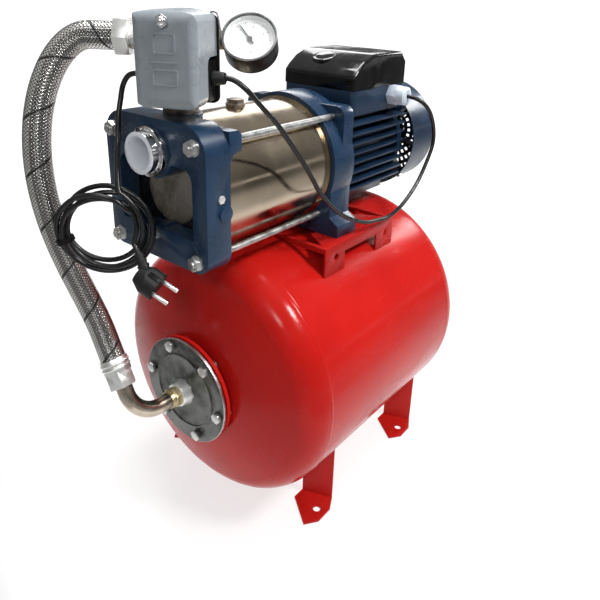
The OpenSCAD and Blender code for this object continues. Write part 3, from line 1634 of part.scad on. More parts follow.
// The flex from the switch to the motor's terminal box
switch_out = [cos(switch_turn), sin(switch_turn), 0];
cable_way = [-sin(switch_turn), cos(switch_turn), 0];
cable_from = [port_x, 0, grommet_z] + grommet_x * switch_out
    + (switch_y1 - block_in + seat) * cable_way;
cable_to = [gland_x, -box_w / 2, pump_z + gland_z];
cable_path = concat(
    [cable_from, cable_from + (grommet_l + flex_d) * cable_way],
    smooth(cable_route, 2),
    [cable_to - (gland_l + flex_d) * [0, 1, 0], cable_to]);

module motor_cable() {
    color("black") sweep(cable_path, flex_d / 2, 8);
}

// The coil of the power cord: a hank whose strands wind round one another
coil_e = unit([-coil_face[1], coil_face[0], 0]);
coil_n = unit(coil_face);
coil_sweep = 360 * coil_turns + coil_in_angle - coil_out_angle;
coil_rings = 24 * coil_turns;
function coil_point(a) =
    let (t = coil_in_angle - a,
        f = coil_phase + a * (1 - 1 / coil_strands),
        r = bundle_r * (1 + coil_open_share * (1 - cos(t - tie_angle)) / 2))
    coil_middle + r * sin(f) * coil_n + (coil_r + r * cos(f))
        * (coil_wide_share * cos(t) * coil_e + sin(t) * [0, 0, 1]);
coil_loops = [for (i = [0:coil_rings]) coil_point(coil_sweep * i / coil_rings)];
coil_lead = flex_d * unit(coil_loops[0] - coil_loops[1]);
coil_trail = flex_d * unit(coil_loops[coil_rings] - coil_loops[coil_rings - 1]);
coil_path = concat([coil_loops[0] + coil_lead], coil_loops, [coil_loops[coil_rings] + coil_trail]);
coil_gap = min([for (i = [0:len(coil_loops) - 14]) for (j = [i + 13:len(coil_loops) - 1])
    norm(coil_loops[i] - coil_loops[j])]) - flex_d;
echo(coil_gap = coil_gap, coil_length = path_length(coil_path));

module power_cord_coil() {
    color("black") sweep(coil_path, flex_d / 2, 6);
}

cord_from = [port_x, 0, grommet_z] + grommet_x * switch_out
    + (switch_y0 + block_in - seat) * cable_way;
cord_path = concat(
    [cord_from, cord_from - (grommet_l + flex_d) * cable_way],
    smooth(cord_route, 2),
    [coil_path[0] + coil_lead, coil_path[0]]);
tail_path = concat(
    [coil_path[len(coil_path) - 1], coil_path[len(coil_path) - 1] + coil_trail],
    tail_route, [plug_at - 2 * flex_d * plug_way, plug_at - flex_d * plug_way, plug_at]);

module power_cord() {
    color("black") {
        sweep(cord_path, flex_d / 2, 8);
        sweep(tail_path, flex_d / 2, 8);
    }
}

module cord_tie() {
    r = bundle_r + flex_d / 2 + tie_gap;
    color("black") translate(coil_middle) multmatrix([
        [coil_e[0], 0, coil_n[0], 0], [coil_e[1], 0, coil_n[1], 0],
        [0, 1, 0, 0], [0, 0, 0, 1]])
        translate(coil_r * [coil_wide_share * cos(tie_angle), sin(tie_angle), 0])
            rotate([90, 0, tie_angle]) difference() {
                cylinder(h = tie_w, r = r + tie_t, center = true);
                cylinder(h = tie_w + 2 * cut, r = r, center = true);
            }
}

// The frame of the mains plug: z points out of its face and x runs from pin to pin
module at_plug() {
    y = cross(plug_pins_way, plug_row_way);
    translate(plug_face) multmatrix([
        [plug_row_way[0], y[0], plug_pins_way[0], 0], [plug_row_way[1], y[1], plug_pins_way[1], 0],
        [plug_row_way[2], y[2], plug_pins_way[2], 0], [0, 0, 0, 1]]) children();
}

// The frame of the plug's neck: z points back along the cord's end
module at_neck() {
    u = unit(plug_neck_way);
    translate(plug_at - plug_neck_l * u) rotate([0, acos(u[2]), atan2(u[1], u[0])]) children();
}

module mains_plug() {
    lean = (plug_neck_r - plug_tip_r) / plug_neck_l;
    color("black") difference() {
        union() {
            at_plug() intersection() {
                union() {
                    translate([0, 0, -plug_front_l]) cylinder(h = plug_front_l, d = plug_d);
                    translate([0, 0, -plug_l])
                        cylinder(h = plug_l - plug_front_l, d1 = plug_d * 0.6, d2 = plug_d);
                }
                block([-plug_d, -plug_flat, -plug_l], [plug_d, plug_flat, cut]);
            }
            at_neck() {
                cylinder(h = plug_neck_l, r1 = plug_neck_r, r2 = plug_tip_r);
                for (k = [1:plug_rib_n]) {
                    z = plug_neck_l * (k + 1) / (plug_rib_n + 2);
                    translate([0, 0, z])
                        cylinder(h = plug_rib_l, r = plug_neck_r - lean * z + plug_rib_rise);
                }
            }
        }
        at_neck() translate([0, 0, plug_neck_l - seat]) cylinder(h = seat + cut, r = flex_d / 2);
    }
}

module plug_pins() {
    color("silver") at_plug() {
        for (side = [-1, 1] * pin_gap / 2) translate([side, 0, seat / 2])
            cylinder(h = pin_l, d = pin_d);
        for (side = [0, 1]) mirror([0, side, 0])
            block([-clip_w / 2, plug_flat + seat / 2, -plug_front_l],
                [clip_w / 2, plug_flat + seat / 2 + clip_t, -seat]);
    }
}

tank_shell();
tank_membrane();
counterflange();
flange_bolts();
tank_feet();
air_valve();
air_valve_cap();
pump_table();
table_bolts();
brass_adapter();
elbow_tube();
lower_hose_nut();
braided_hose();
upper_hose_nut();
five_way_fitting();
front_casting();
front_cover();
suction_nipple();
nipple_liner();
pump_shell();
filler_plug();
drain_plug();
vent_screw();
tie_rods();
tie_rod_nuts();
motor_bracket();
diffusers();
seal_seat();
motor_frame();
stator();
bearings();
rear_shield();
fan_cover();
cover_screws();
terminal_cover();
terminal_block();
capacitor();
cable_gland();
switch_plate();
switch_cover();
switch_nuts();
switch_block();
switch_spring();
switch_nipple();
switch_grommets();
switch_lever();
gauge_case();
gauge_dial();
gauge_lens();
gauge_needle();
rotor_shaft();
impellers();
rotor_core();
cooling_fan();
motor_cable();
power_cord();
power_cord_coil();
cord_tie();
mains_plug();
plug_pins();
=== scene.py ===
"""Looks of a water booster set: a horizontal multistage pump on a small pressure tank."""

from __future__ import annotations

import logging
import math
from dataclasses import dataclass
from enum import Enum
from typing import Callable, ClassVar, Iterable, Sequence, Union

import bmesh
import bpy
from mathutils import Matrix, Vector


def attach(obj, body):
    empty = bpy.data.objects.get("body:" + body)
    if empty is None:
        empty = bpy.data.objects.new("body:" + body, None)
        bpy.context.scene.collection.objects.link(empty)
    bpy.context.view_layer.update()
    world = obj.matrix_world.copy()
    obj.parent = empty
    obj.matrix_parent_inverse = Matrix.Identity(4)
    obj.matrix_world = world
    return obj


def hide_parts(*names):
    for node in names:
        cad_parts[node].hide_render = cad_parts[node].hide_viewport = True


LOG = logging.getLogger("booster")
MM = 0.001
UV_NAME = "along"
Number = Union[int, float]
Colour = tuple[float, float, float]
Point = Sequence[float]


# Shader maths


class Sock:
    """One output of a shader node, with the arithmetic of shader maths."""

    def __init__(self, graph: "Graph", out: bpy.types.NodeSocket) -> None:
        """Keeps the graph and the output that this stands for."""
        self.graph = graph
        self.out = out

    def _math(self, operation: str, *values: "Value") -> "Sock":
        """Adds one Math node.

        Args:
            operation: the Math node's operation.
            values: its inputs, numbers or sockets.

        Returns:
            The node's output.
        """
        return self.graph.node(
            "ShaderNodeMath", {"operation": operation}, dict(enumerate(values))
        )

    def __add__(self, other: "Value") -> "Sock":
        """Sum."""
        return self._math("ADD", self, other)

    __radd__ = __add__

    def __mul__(self, other: "Value") -> "Sock":
        """Product."""
        return self._math("MULTIPLY", self, other)

    __rmul__ = __mul__

    def __sub__(self, other: "Value") -> "Sock":
        """Difference."""
        return self._math("SUBTRACT", self, other)

    def __rsub__(self, other: "Value") -> "Sock":
        """Difference, from a number."""
        return self._math("SUBTRACT", other, self)

    def __truediv__(self, other: "Value") -> "Sock":
        """Quotient."""
        return self._math("DIVIDE", self, other)

    def __mod__(self, other: "Value") -> "Sock":
        """Remainder, never negative."""
        return self._math("FLOORED_MODULO", self, other)

    def above(self, limit: "Value") -> "Sock":
        """One where this is greater than the limit, otherwise zero."""
        return self._math("GREATER_THAN", self, limit)

    def absolute(self) -> "Sock":
        """Size without its sign."""
        return self._math("ABSOLUTE", self)

    def floor(self) -> "Sock":
        """Whole part."""
        return self._math("FLOOR", self)

    def sine(self) -> "Sock":
        """Sine, in radians."""
        return self._math("SINE", self)

    def largest(self, other: "Value") -> "Sock":
        """Larger of the two."""
        return self._math("MAXIMUM", self, other)

    def ramp(self, low: float, high: float, to_low: float = 0.0, to_high: float = 1.0) -> "Sock":
        """Maps low..high smoothly onto to_low..to_high, and holds the ends."""
        return self.graph.node(
            "ShaderNodeMapRange",
            {"interpolation_type": "SMOOTHSTEP"},
            {"Value": self, "From Min": low, "From Max": high, "To Min": to_low, "To Max": to_high},
        )


Value = Union[Sock, Number, Sequence[float]]


class Graph:
    """The node tree of one material, round a Principled shader, or of the sky."""

    def __init__(self, name: str, sky: bool = False) -> None:
        """Starts a material, or a world, of that name with its shader and its output."""
        self.holder = (bpy.data.worlds if sky else bpy.data.materials).new(name)
        self.holder.use_nodes = True
        self.tree = self.holder.node_tree
        self.tree.nodes.clear()
        shader, end = ("Background", "World") if sky else ("BsdfPrincipled", "Material")
        self.shader = self.tree.nodes.new("ShaderNode" + shader)
        output = self.tree.nodes.new("ShaderNodeOutput" + end)
        self.tree.links.new(self.shader.outputs[0], output.inputs["Surface"])

    def node(
        self,
        kind: str,
        settings: dict[str, object] | None = None,
        inputs: dict[str | int, Value] | None = None,
        out: str | int = 0,
    ) -> Sock:
        """Adds one node.

        Args:
            kind: the node's type.
            settings: its properties; "stops" sets a ramp's stops.
            inputs: its sockets' values or links, by name or number.
            out: the output to return.

        Returns:
            That output.
        """
        made = self.tree.nodes.new(kind)
        for key, value in (settings or {}).items():
            if key == "stops":
                self._stops(made.color_ramp, value)
            else:
                setattr(made, key, value)
        for key, value in (inputs or {}).items():
            self.feed(made.inputs[key], value)
        return Sock(self, made.outputs[out])

    def feed(self, socket: bpy.types.NodeSocket, value: Value) -> None:
        """Links a socket to a node's output, or sets its constant."""
        if isinstance(value, Sock):
            self.tree.links.new(value.out, socket)
        elif isinstance(value, (int, float)) or len(value) == len(socket.default_value):
            socket.default_value = value
        else:
            socket.default_value = (*value, 1.0)

    @staticmethod
    def _stops(ramp: bpy.types.ColorRamp, stops: Iterable[tuple[float, Colour]]) -> None:
        """Writes a colour ramp's stops."""
        stops = list(stops)
        while len(ramp.elements) < len(stops):
            ramp.elements.new(0.5)
        for element, (place, colour) in zip(ramp.elements, stops):
            element.position = place
            element.color = (*colour, 1.0)

    def place(self, stretch: Point = (1.0, 1.0, 1.0)) -> Sock:
        """Object coordinates, stretched by a factor on each axis."""
        coords = self.node("ShaderNodeTexCoord", out="Object")
        if tuple(stretch) == (1.0, 1.0, 1.0):
            return coords
        return self.node(
            "ShaderNodeVectorMath", {"operation": "MULTIPLY"}, {0: coords, 1: stretch}
        )

    def axis(self, vector: Sock, name: str) -> Sock:
        """One component of a vector: X, Y or Z."""
        return self.node("ShaderNodeSeparateXYZ", {}, {0: vector}, name)

    def noise(self, where: Sock, scale: float, detail: float = 2.0, rough: float = 0.5) -> Sock:
        """Noise between 0 and 1 at that scale."""
        return self.node(
            "ShaderNodeTexNoise",
            {"noise_dimensions": "3D"},
            {"Vector": where, "Scale": scale, "Detail": detail, "Roughness": rough},
        )

    def mix(self, factor: Value, first: Value, second: Value) -> Sock:
        """Colour between two colours."""
        return self.node(
            "ShaderNodeMix", {"data_type": "RGBA"}, {0: factor, 6: first, 7: second}, 2
        )

    def bump(self, height: Sock, distance: float, strength: float = 1.0) -> Sock:
        """Surface normal over a height, with the distance in metres that one unit stands for."""
        return self.node(
            "ShaderNodeBump", {}, {"Height": height, "Distance": distance, "Strength": strength}
        )

    def shade(self, **inputs: Value) -> bpy.types.ID:
        """Feeds the shader's sockets.

        Args:
            inputs: values by socket name, with underscores for spaces.

        Returns:
            The finished material or world.
        """
        for key, value in inputs.items():
            self.feed(self.shader.inputs[key.replace("_", " ")], value)
        return self.holder


# Finishes


@dataclass(frozen=True)
class GlossPaint:
    """Stoved gloss paint on sheet steel, with orange peel and a little dust."""

    name: str
    colour: Colour
    deep: Colour
    roughness: float = 0.2
    peel: float = 0.00012
    coat: float = 0.05
    shine: float = 0.14
    seams: tuple[float, ...] = ()
    seam_wide: float = 1.2
    seam_fade: float = 3.0
    seam_high: float = 2.2

    def build(self) -> bpy.types.Material:
        """Makes the material."""
        g = Graph(self.name)
        at = g.place()
        broad = g.noise(at, 7.0, 3.0)
        peel = g.noise(at, 260.0, 2.0)
        dust = g.noise(at, 900.0, 1.0).ramp(0.66, 0.8)
        smear = g.noise(g.place((1.0, 3.0, 3.0)), 16.0, 4.0, 0.6)
        height = peel
        for x in self.seams:
            off = (g.axis(at, "X") - x * MM).absolute()
            line = off.ramp(self.seam_wide * MM, self.seam_fade * MM, 1.0, 0.0)
            height = height + line * self.seam_high
        return g.shade(
            Base_Color=g.mix(broad.ramp(0.3, 0.75), self.deep, self.colour),
            Roughness=smear.ramp(0.35, 0.75, self.roughness - 0.05, self.roughness + 0.12)
            + dust * 0.12,
            Coat_Weight=self.coat,
            Coat_Roughness=0.03,
            Specular_IOR_Level=self.shine,
            Normal=g.bump(height, self.peel),
        )


@dataclass(frozen=True)
class CastPaint:
    """Gloss enamel over a sand casting, a little dusty."""

    name: str
    colour: Colour
    roughness: float = 0.3
    grain: float = 0.0002
    shade: float = 0.7
    dust: Colour = (0.2, 0.22, 0.24)

    def build(self) -> bpy.types.Material:
        """Makes the material."""
        g = Graph(self.name)
        at = g.place()
        cast = g.noise(at, 260.0, 4.0, 0.6)
        broad = g.noise(at, 22.0, 3.0)
        dust = g.noise(at, 600.0, 2.0).ramp(0.6, 0.8)
        body = g.mix(broad.ramp(0.3, 0.7), [c * self.shade for c in self.colour], self.colour)
        return g.shade(
            Base_Color=g.mix(dust * 0.1, body, self.dust),
            Roughness=broad.ramp(0.3, 0.7, self.roughness - 0.08, self.roughness + 0.08)
            + dust * 0.1,
            Coat_Weight=0.15,
            Coat_Roughness=0.1,
            Specular_IOR_Level=0.4,
            Normal=g.bump(cast, self.grain, 0.6),
        )


@dataclass(frozen=True)
class BareMetal:
    """Bare or plated metal: cloudy, finely scratched, brushed along one axis."""

    name: str
    colour: Colour
    dull: Colour
    roughness: float = 0.25
    cloud: float = 60.0
    brush: tuple[float, float, float] = (1.0, 1.0, 1.0)
    scratch: float = 0.00003
    spots: float = 0.0

    def build(self) -> bpy.types.Material:
        """Makes the material."""
        g = Graph(self.name)
        at = g.place()
        cloud = g.noise(at, self.cloud, 3.0, 0.5)
        lines = g.noise(g.place(self.brush), 900.0, 2.0)
        speck = g.noise(at, 700.0, 2.0).ramp(0.62, 0.75) * self.spots
        tone = g.mix(cloud.ramp(0.3, 0.7), self.dull, self.colour)
        return g.shade(
            Base_Color=g.mix(speck, tone, [c * 0.35 for c in self.dull]),
            Metallic=1.0,
            Roughness=cloud.ramp(0.3, 0.72, self.roughness - 0.06, self.roughness + 0.1)
            + lines * 0.08 + speck * 0.2,
            Normal=g.bump(lines, self.scratch),
        )


@dataclass(frozen=True)
class Moulding:
    """Moulded plastic or rubber, with a fine grain and finger marks."""

    name: str
    colour: Colour
    roughness: float = 0.45
    grain: float = 0.00006
    fleck: float = 0.12
    coat: float = 0.0
    shine: float = 0.4

    def build(self) -> bpy.types.Material:
        """Makes the material."""
        g = Graph(self.name)
        at = g.place()
        fine = g.noise(at, 1500.0, 2.0)
        marks = g.noise(at, 45.0, 4.0, 0.6)
        light = [min(1.0, c * (1.0 + self.fleck) + 0.003) for c in self.colour]
        return g.shade(
            Base_Color=g.mix(marks.ramp(0.35, 0.7), self.colour, light),
            Roughness=marks.ramp(0.3, 0.7, self.roughness - 0.07, self.roughness + 0.09),
            Coat_Weight=self.coat,
            Coat_Roughness=0.05,
            Specular_IOR_Level=self.shine,
            Normal=g.bump(fine, self.grain),
        )


@dataclass(frozen=True)
class Braid:
    """Steel braid over a hose, with u once round it and v along it in metres."""

    name: str
    bands: int = 20
    lay: float = 0.075
    wires: float = 4.0
    tracer_lay: float = 0.06
    tracer_wide: float = 0.02
    # streaks and patches set the lengthwise bands of painted highlight and painted shade round the
    # hose.
    streaks: float = 12.0
    patches: float = 5.0
    # Bright steel with a painted highlight on the strands' crowns, and painted shade where the bands
    # dip under each other.
    crown_highlight: Colour = (0.95, 0.94, 0.9)
    gap_shade: Colour = (0.02, 0.02, 0.019)
    # Dark colour of the painted shade in the lengthwise bands round the hose.
    streak_shade: Colour = (0.05, 0.049, 0.046)
    sooty: Colour = (0.22, 0.21, 0.19)
    tracer: Colour = (0.012, 0.012, 0.012)

    def build(self) -> bpy.types.Material:
        """Makes the material."""
        g = Graph(self.name)
        uv = g.node("ShaderNodeUVMap", {"uv_map": UV_NAME})
        u, v = g.axis(uv, "X"), g.axis(uv, "Y")
        rise = v * (self.bands / self.lay)
        left, right = u * self.bands + rise, u * self.bands - rise
        over = ((left.floor() + right.floor()) % 2.0).above(0.5)
        across = over * (left % 1.0) + (1.0 - over) * (right % 1.0)
        along = over * (right % 1.0) + (1.0 - over) * (left % 1.0)
        dome = (across * math.pi).sine() * 0.7 + (along * math.pi).sine() * 0.6
        wire = (across * self.wires * math.pi).sine().absolute()
        tracer = ((u - v / self.tracer_lay) % 1.0 - 0.5).absolute().ramp(
            self.tracer_wide, self.tracer_wide * 1.6, 1.0, 0.0
        )
        soot = g.noise(g.place(), 70.0, 3.0).ramp(0.45, 0.75)
        # Painted light: each strand is brightest on its crown, partly the steel and partly a painted
        # highlight, and near black at its edges as painted shade.
        tone = g.mix(dome.ramp(0.35, 1.15), self.gap_shade, self.crown_highlight)
        # Painted light: lengthwise bands round the hose are darkened as painted shade, and the bands
        # left bright stand for painted highlights.
        painted_streaks = (u * (self.streaks * math.pi)).sine() * (u * (self.patches * math.pi) + 1.0).sine()
        tone = g.mix(painted_streaks.ramp(-0.3, 0.3, 0.7, 0.0), tone, self.streak_shade)
        tone = g.mix(soot * 0.2, tone, self.sooty)
        return g.shade(
            Base_Color=g.mix(tracer, tone, self.tracer),
            Metallic=0.85 - tracer * 0.8,
            Roughness=0.16 + soot * 0.06 - wire * 0.04,
            Normal=g.bump(dome + wire * 0.25, 0.0003),
        )


@dataclass(frozen=True)
class ClearGlass:
    """Flat gauge glass, thinly tinted."""

    name: str

    def build(self) -> bpy.types.Material:
        """Makes the material."""
        g = Graph(self.name)
        smear = g.noise(g.place(), 120.0, 3.0)
        return g.shade(
            Base_Color=(0.96, 0.98, 0.99),
            Roughness=smear.ramp(0.3, 0.8, 0.02, 0.08),
            Alpha=smear.ramp(0.3, 0.8, 0.06, 0.1),
            IOR=1.45,
        )


class Material(Enum):
    """Every finish on the set, by the piece that wears it."""

    TANK_RED = GlossPaint(
        "tank_red", (0.5, 0.011, 0.008), (0.42, 0.008, 0.006), seams=(-158.0, 158.0)
    )
    SHEET_RED = GlossPaint("sheet_red", (0.46, 0.013, 0.01), (0.36, 0.009, 0.007), 0.3)
    CAST_BLUE = CastPaint("cast_blue", (0.009, 0.034, 0.08))
    FRAME_BLUE = CastPaint("frame_blue", (0.007, 0.024, 0.058), 0.36, 0.0001)
    # The dark warm brown of the shell's steel paints the reflection of a dim, warm room.
    SHELL_STEEL = BareMetal(
        "shell_steel", (0.5, 0.42, 0.32), (0.4, 0.325, 0.24), 0.13, 14.0, (0.06, 1.0, 1.0)
    )
    PLATE_STEEL = BareMetal("plate_steel", (0.3, 0.27, 0.23), (0.2, 0.18, 0.15), 0.22, 40.0)
    POLISHED = BareMetal("polished", (0.82, 0.82, 0.83), (0.7, 0.7, 0.72), 0.09, 90.0)
    WARM_NICKEL = BareMetal("warm_nickel", (0.62, 0.54, 0.45), (0.5, 0.43, 0.35), 0.14, 60.0)
    NICKEL = BareMetal(
        "nickel", (0.96, 0.96, 0.94), (0.86, 0.86, 0.83), 0.34, 60.0, scratch=0.00001
    )
    ZINC = BareMetal("zinc", (0.7, 0.7, 0.68), (0.52, 0.52, 0.51), 0.3, 120.0, spots=0.3)
    FLANGE_ZINC = BareMetal(
        "flange_zinc", (0.16, 0.165, 0.155), (0.07, 0.075, 0.07), 0.26, 60.0, spots=0.6
    )
    FLANGE_RIM = BareMetal("flange_rim", (0.7, 0.66, 0.65), (0.5, 0.46, 0.46), 0.3, 90.0, spots=0.3)
    DARK_STEEL = BareMetal("dark_steel", (0.3, 0.3, 0.31), (0.18, 0.18, 0.19), 0.35, 90.0)
    BRASS = BareMetal("brass", (0.62, 0.52, 0.32), (0.46, 0.38, 0.22), 0.34, 90.0)
    # Dark bronze: the filler plug's own colour, and painted shade on the fitting below the switch.
    BRONZE_AND_SHADE = BareMetal("bronze", (0.34, 0.29, 0.25), (0.2, 0.17, 0.14), 0.36, 120.0, spots=0.6)
    COPPER = BareMetal("copper", (0.75, 0.38, 0.22), (0.5, 0.24, 0.13), 0.35, 200.0)
    CAN_ALUMINIUM = BareMetal("can_aluminium", (0.78, 0.78, 0.79), (0.62, 0.62, 0.64), 0.3, 80.0)
    BRAID = Braid("steel_braid")
    FLEX = Moulding("flex", (0.006, 0.006, 0.0065), 0.28, 0.00002, 0.2, shine=0.45)
    BLACK_PLASTIC = Moulding("black_plastic", (0.005, 0.005, 0.0055), 0.34, shine=0.1)
    BLACK_GLOSS = Moulding("black_gloss", (0.003, 0.003, 0.003), 0.1, 0.00001, 0.2, 0.1, 0.35)
    BLACK_RUBBER = Moulding("black_rubber", (0.01, 0.01, 0.0105), 0.5, 0.00006, shine=0.3)
    SWITCH_GREY = Moulding("switch_grey", (0.25, 0.28, 0.3), 0.32, 0.00005, 0.1, 0.15)
    GLAND_GREY = Moulding("gland_grey", (0.55, 0.62, 0.7), 0.4, 0.00004, 0.06)
    LINER_WHITE = Moulding("liner_white", (0.84, 0.87, 0.92), 0.4, 0.00004, 0.05)
    DIAL_WHITE = Moulding("dial_white", (0.8, 0.81, 0.8), 0.5, 0.00001, 0.02)
    DIAL_INK = Moulding("dial_ink", (0.012, 0.012, 0.012), 0.5, 0.00001)
    CERAMIC = Moulding("ceramic", (0.8, 0.78, 0.7), 0.3, 0.00002)
    GLASS = ClearGlass("gauge_glass")


class Paintbox:
    """Makes each material once."""

    def __init__(self) -> None:
        """Starts empty."""
        self._made: dict[Material, bpy.types.Material] = {}

    def get(self, finish: Material) -> bpy.types.Material:
        """The Blender material of a finish."""
        if finish not in self._made:
            self._made[finish] = finish.value.build()
        return self._made[finish]


PAINTS = Paintbox()


# Bench work


def dress(node: str, finish: Material) -> None:
    """Gives a CAD node its finish, and leaves its shape.

    Args:
        node: the CAD node's name.
        finish: what it wears.
    """
    LOG.info("dress %s", node)
    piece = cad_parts[node]
    piece.data.materials.clear()
    piece.data.materials.append(PAINTS.get(finish))


class Bench:
    """A bmesh being worked on, which becomes one piece."""

    ink_t = 0.08

    def __init__(self) -> None:
        """Starts with an empty mesh."""
        self.bm = bmesh.new()
        self.extra: list[Material] = []

    @classmethod
    def copy_of(cls, node: str) -> "Bench":
        """A merged copy of a CAD node's mesh, with its flat faces joined."""
        bench = cls()
        bench.bm.from_mesh(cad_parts[node].data)
        bmesh.ops.remove_doubles(bench.bm, verts=bench.bm.verts, dist=2e-6)
        bmesh.ops.dissolve_limit(
            bench.bm, angle_limit=math.radians(0.6), verts=bench.bm.verts, edges=bench.bm.edges
        )
        return bench

    def ease(self, width: float, limit: float = 35.0, segments: int = 2) -> "Bench":
        """Rounds every edge sharper than a limit.

        Args:
            width: the bevel's width in millimetres.
            limit: smallest angle between two faces that is rounded, in degrees.
            segments: faces across the round.

        Returns:
            This bench.
        """
        sharp = [
            e for e in self.bm.edges
            if len(e.link_faces) == 2 and e.calc_face_angle(0.0) > math.radians(limit)
        ]
        bmesh.ops.bevel(
            self.bm, geom=sharp, offset=width * MM, offset_type="OFFSET", segments=segments,
            profile=0.5, affect="EDGES", clamp_overlap=True, material=-1,
        )
        return self

    def lathe(self, outline: Sequence[tuple[float, float]], steps: int = 64) -> "Bench":
        """Turns an outline of (place along x, radius), in millimetres, about the x axis."""
        verts = [self.bm.verts.new((x * MM, 0.0, r * MM)) for x, r in outline]
        edges = [self.bm.edges.new(pair) for pair in zip(verts, verts[1:])]
        bmesh.ops.spin(
            self.bm, geom=verts + edges, cent=(0, 0, 0), axis=(1, 0, 0), dvec=(0, 0, 0),
            angle=math.tau, steps=steps, use_merge=True, use_duplicate=False,
        )
        bmesh.ops.remove_doubles(self.bm, verts=self.bm.verts, dist=1e-6)
        bmesh.ops.recalc_face_normals(self.bm, faces=self.bm.faces)
        return self

    def move(self, matrix: Matrix) -> "Bench":
        """Puts the whole mesh in place."""
        bmesh.ops.transform(self.bm, matrix=matrix, verts=self.bm.verts)
        return self

    def tube(self, path: Sequence[Vector], radius: float, around: int) -> "Bench":
        """Sweeps a circle along a path, with u round it and v along it in metres.

        Args:
            path: the points that the circle follows, in metres.
            radius: the circle's radius in metres.
            around: points on the circle.

        Returns:
            This bench.
        """
        frames = carried_frames(path)
        first = bmesh.ops.create_circle(self.bm, radius=radius, segments=around, cap_ends=False)
        ring = list(first["verts"])
        bmesh.ops.transform(self.bm, matrix=frames[0], verts=ring)
        edges = [e for e in self.bm.edges if all(v in ring for v in e.verts)]
        for last, matrix in zip(frames, frames[1:]):
            grown = bmesh.ops.extrude_edge_only(self.bm, edges=edges)["geom"]
            ring = [g for g in grown if isinstance(g, bmesh.types.BMVert)]
            known = set(ring)
            edges = [
                g for g in grown
                if isinstance(g, bmesh.types.BMEdge) and all(v in known for v in g.verts)
            ]
            bmesh.ops.transform(self.bm, matrix=matrix @ last.inverted(), verts=ring)
        self._wrap_tube(path, frames)
        ends = [e for e in self.bm.edges if e.is_boundary]
        bmesh.ops.holes_fill(self.bm, edges=ends, sides=around)
        bmesh.ops.recalc_face_normals(self.bm, faces=self.bm.faces)
        return self

    def _wrap_tube(self, path: Sequence[Vector], frames: Sequence[Matrix]) -> None:
        """Writes the UV map of a swept tube from its path and its frames."""
        layer = self.bm.loops.layers.uv.new(UV_NAME)
        along = [0.0]
        for a, b in zip(path, path[1:]):
            along.append(along[-1] + (b - a).length)
        where = {}
        inverses = [m.inverted() for m in frames]
        per = len(self.bm.verts) // len(frames)
        self.bm.verts.ensure_lookup_table()
        for index, vert in enumerate(self.bm.verts):
            ring = index // per
            local = inverses[ring] @ vert.co
            where[vert] = (math.atan2(local.y, local.x) / math.tau % 1.0, along[ring])
        for face in self.bm.faces:
            us = [where[l.vert][0] for l in face.loops]
            wrap = max(us) - min(us) > 0.5
            for loop in face.loops:
                u, v = where[loop.vert]
                loop[layer].uv = (u + 1.0 if wrap and u < 0.5 else u, v)

    def word(self, text: str, size: float, matrix: Matrix) -> "Bench":
        """Adds a flat number, centred on the origin of a matrix.

        Args:
            text: what it says.
            size: its height in millimetres.
            matrix: where it goes, in metres.

        Returns:
            This bench.
        """
        curve = bpy.data.curves.new("number", "FONT")
        curve.body, curve.size = text, size * MM
        curve.align_x, curve.align_y = "CENTER", "CENTER"
        curve.extrude = self.ink_t / 2 * MM
        holder = bpy.data.objects.new("number", curve)
        mesh = bpy.data.meshes.new_from_object(holder)
        mesh.transform(matrix)
        self.bm.from_mesh(mesh)
        bpy.data.objects.remove(holder)
        bpy.data.meshes.remove(mesh)
        bpy.data.curves.remove(curve)
        return self

    def mark(self, finish: Material, where: Callable[[Vector], bool]) -> "Bench":
        """Gives a second finish to the faces whose middle passes a test.

        Args:
            finish: what those faces wear.
            where: takes a face's middle, in metres, and says whether it is one of them.

        Returns:
            This bench.
        """
        self.extra.append(finish)
        for face in self.bm.faces:
            if where(face.calc_center_median()):
                face.material_index = len(self.extra)
        return self

    def bar(self, size: Point, matrix: Matrix, width: float = 0.0, segments: int = 3) -> "Bench":
        """Adds a block with rounded edges.

        Args:
            size: its sides, in millimetres.
            matrix: where it goes, in metres.
            width: how wide its edges are rounded, in millimetres.
            segments: faces across each round.

        Returns:
            This bench.
        """
        made = bmesh.ops.create_cube(self.bm, size=1.0, matrix=Matrix.Diagonal((*size, 1.0)))
        bmesh.ops.scale(self.bm, vec=(MM, MM, MM), verts=made["verts"])
        verts = list(made["verts"])
        if width:
            edges = list({e for v in verts for e in v.link_edges})
            rounded = bmesh.ops.bevel(
                self.bm, geom=edges, offset=width * MM, offset_type="OFFSET",
                segments=segments, profile=0.5, affect="EDGES", clamp_overlap=True, material=-1,
            )
            faces = set(rounded["faces"])
            verts = list({v for f in faces for v in f.verts})
        bmesh.ops.transform(self.bm, matrix=matrix, verts=verts)
        return self

    def piece(self, name: str, finish: Material, body: str, smooth: float = 35.0) -> bpy.types.Object:
        """Turns the mesh into a piece that rides on a body.

        Args:
            name: the piece's name.
            finish: what it wears.
            body: the CAD body that it moves with.
            smooth: edges flatter than this angle, in degrees, shade round.

        Returns:
            The piece.
        """
        LOG.info("piece %s on %s", name, body)
        for face in self.bm.faces:
            face.smooth = True
        for edge in self.bm.edges:
            edge.smooth = edge.calc_face_angle(0.0) < math.radians(smooth)
        mesh = bpy.data.meshes.new(name)
        self.bm.to_mesh(mesh)
        self.bm.free()
        for paint in (finish, *self.extra):
            mesh.materials.append(PAINTS.get(paint))
        made = bpy.data.objects.new(name, mesh)
        bpy.context.scene.collection.objects.link(made)
        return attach(made, body)


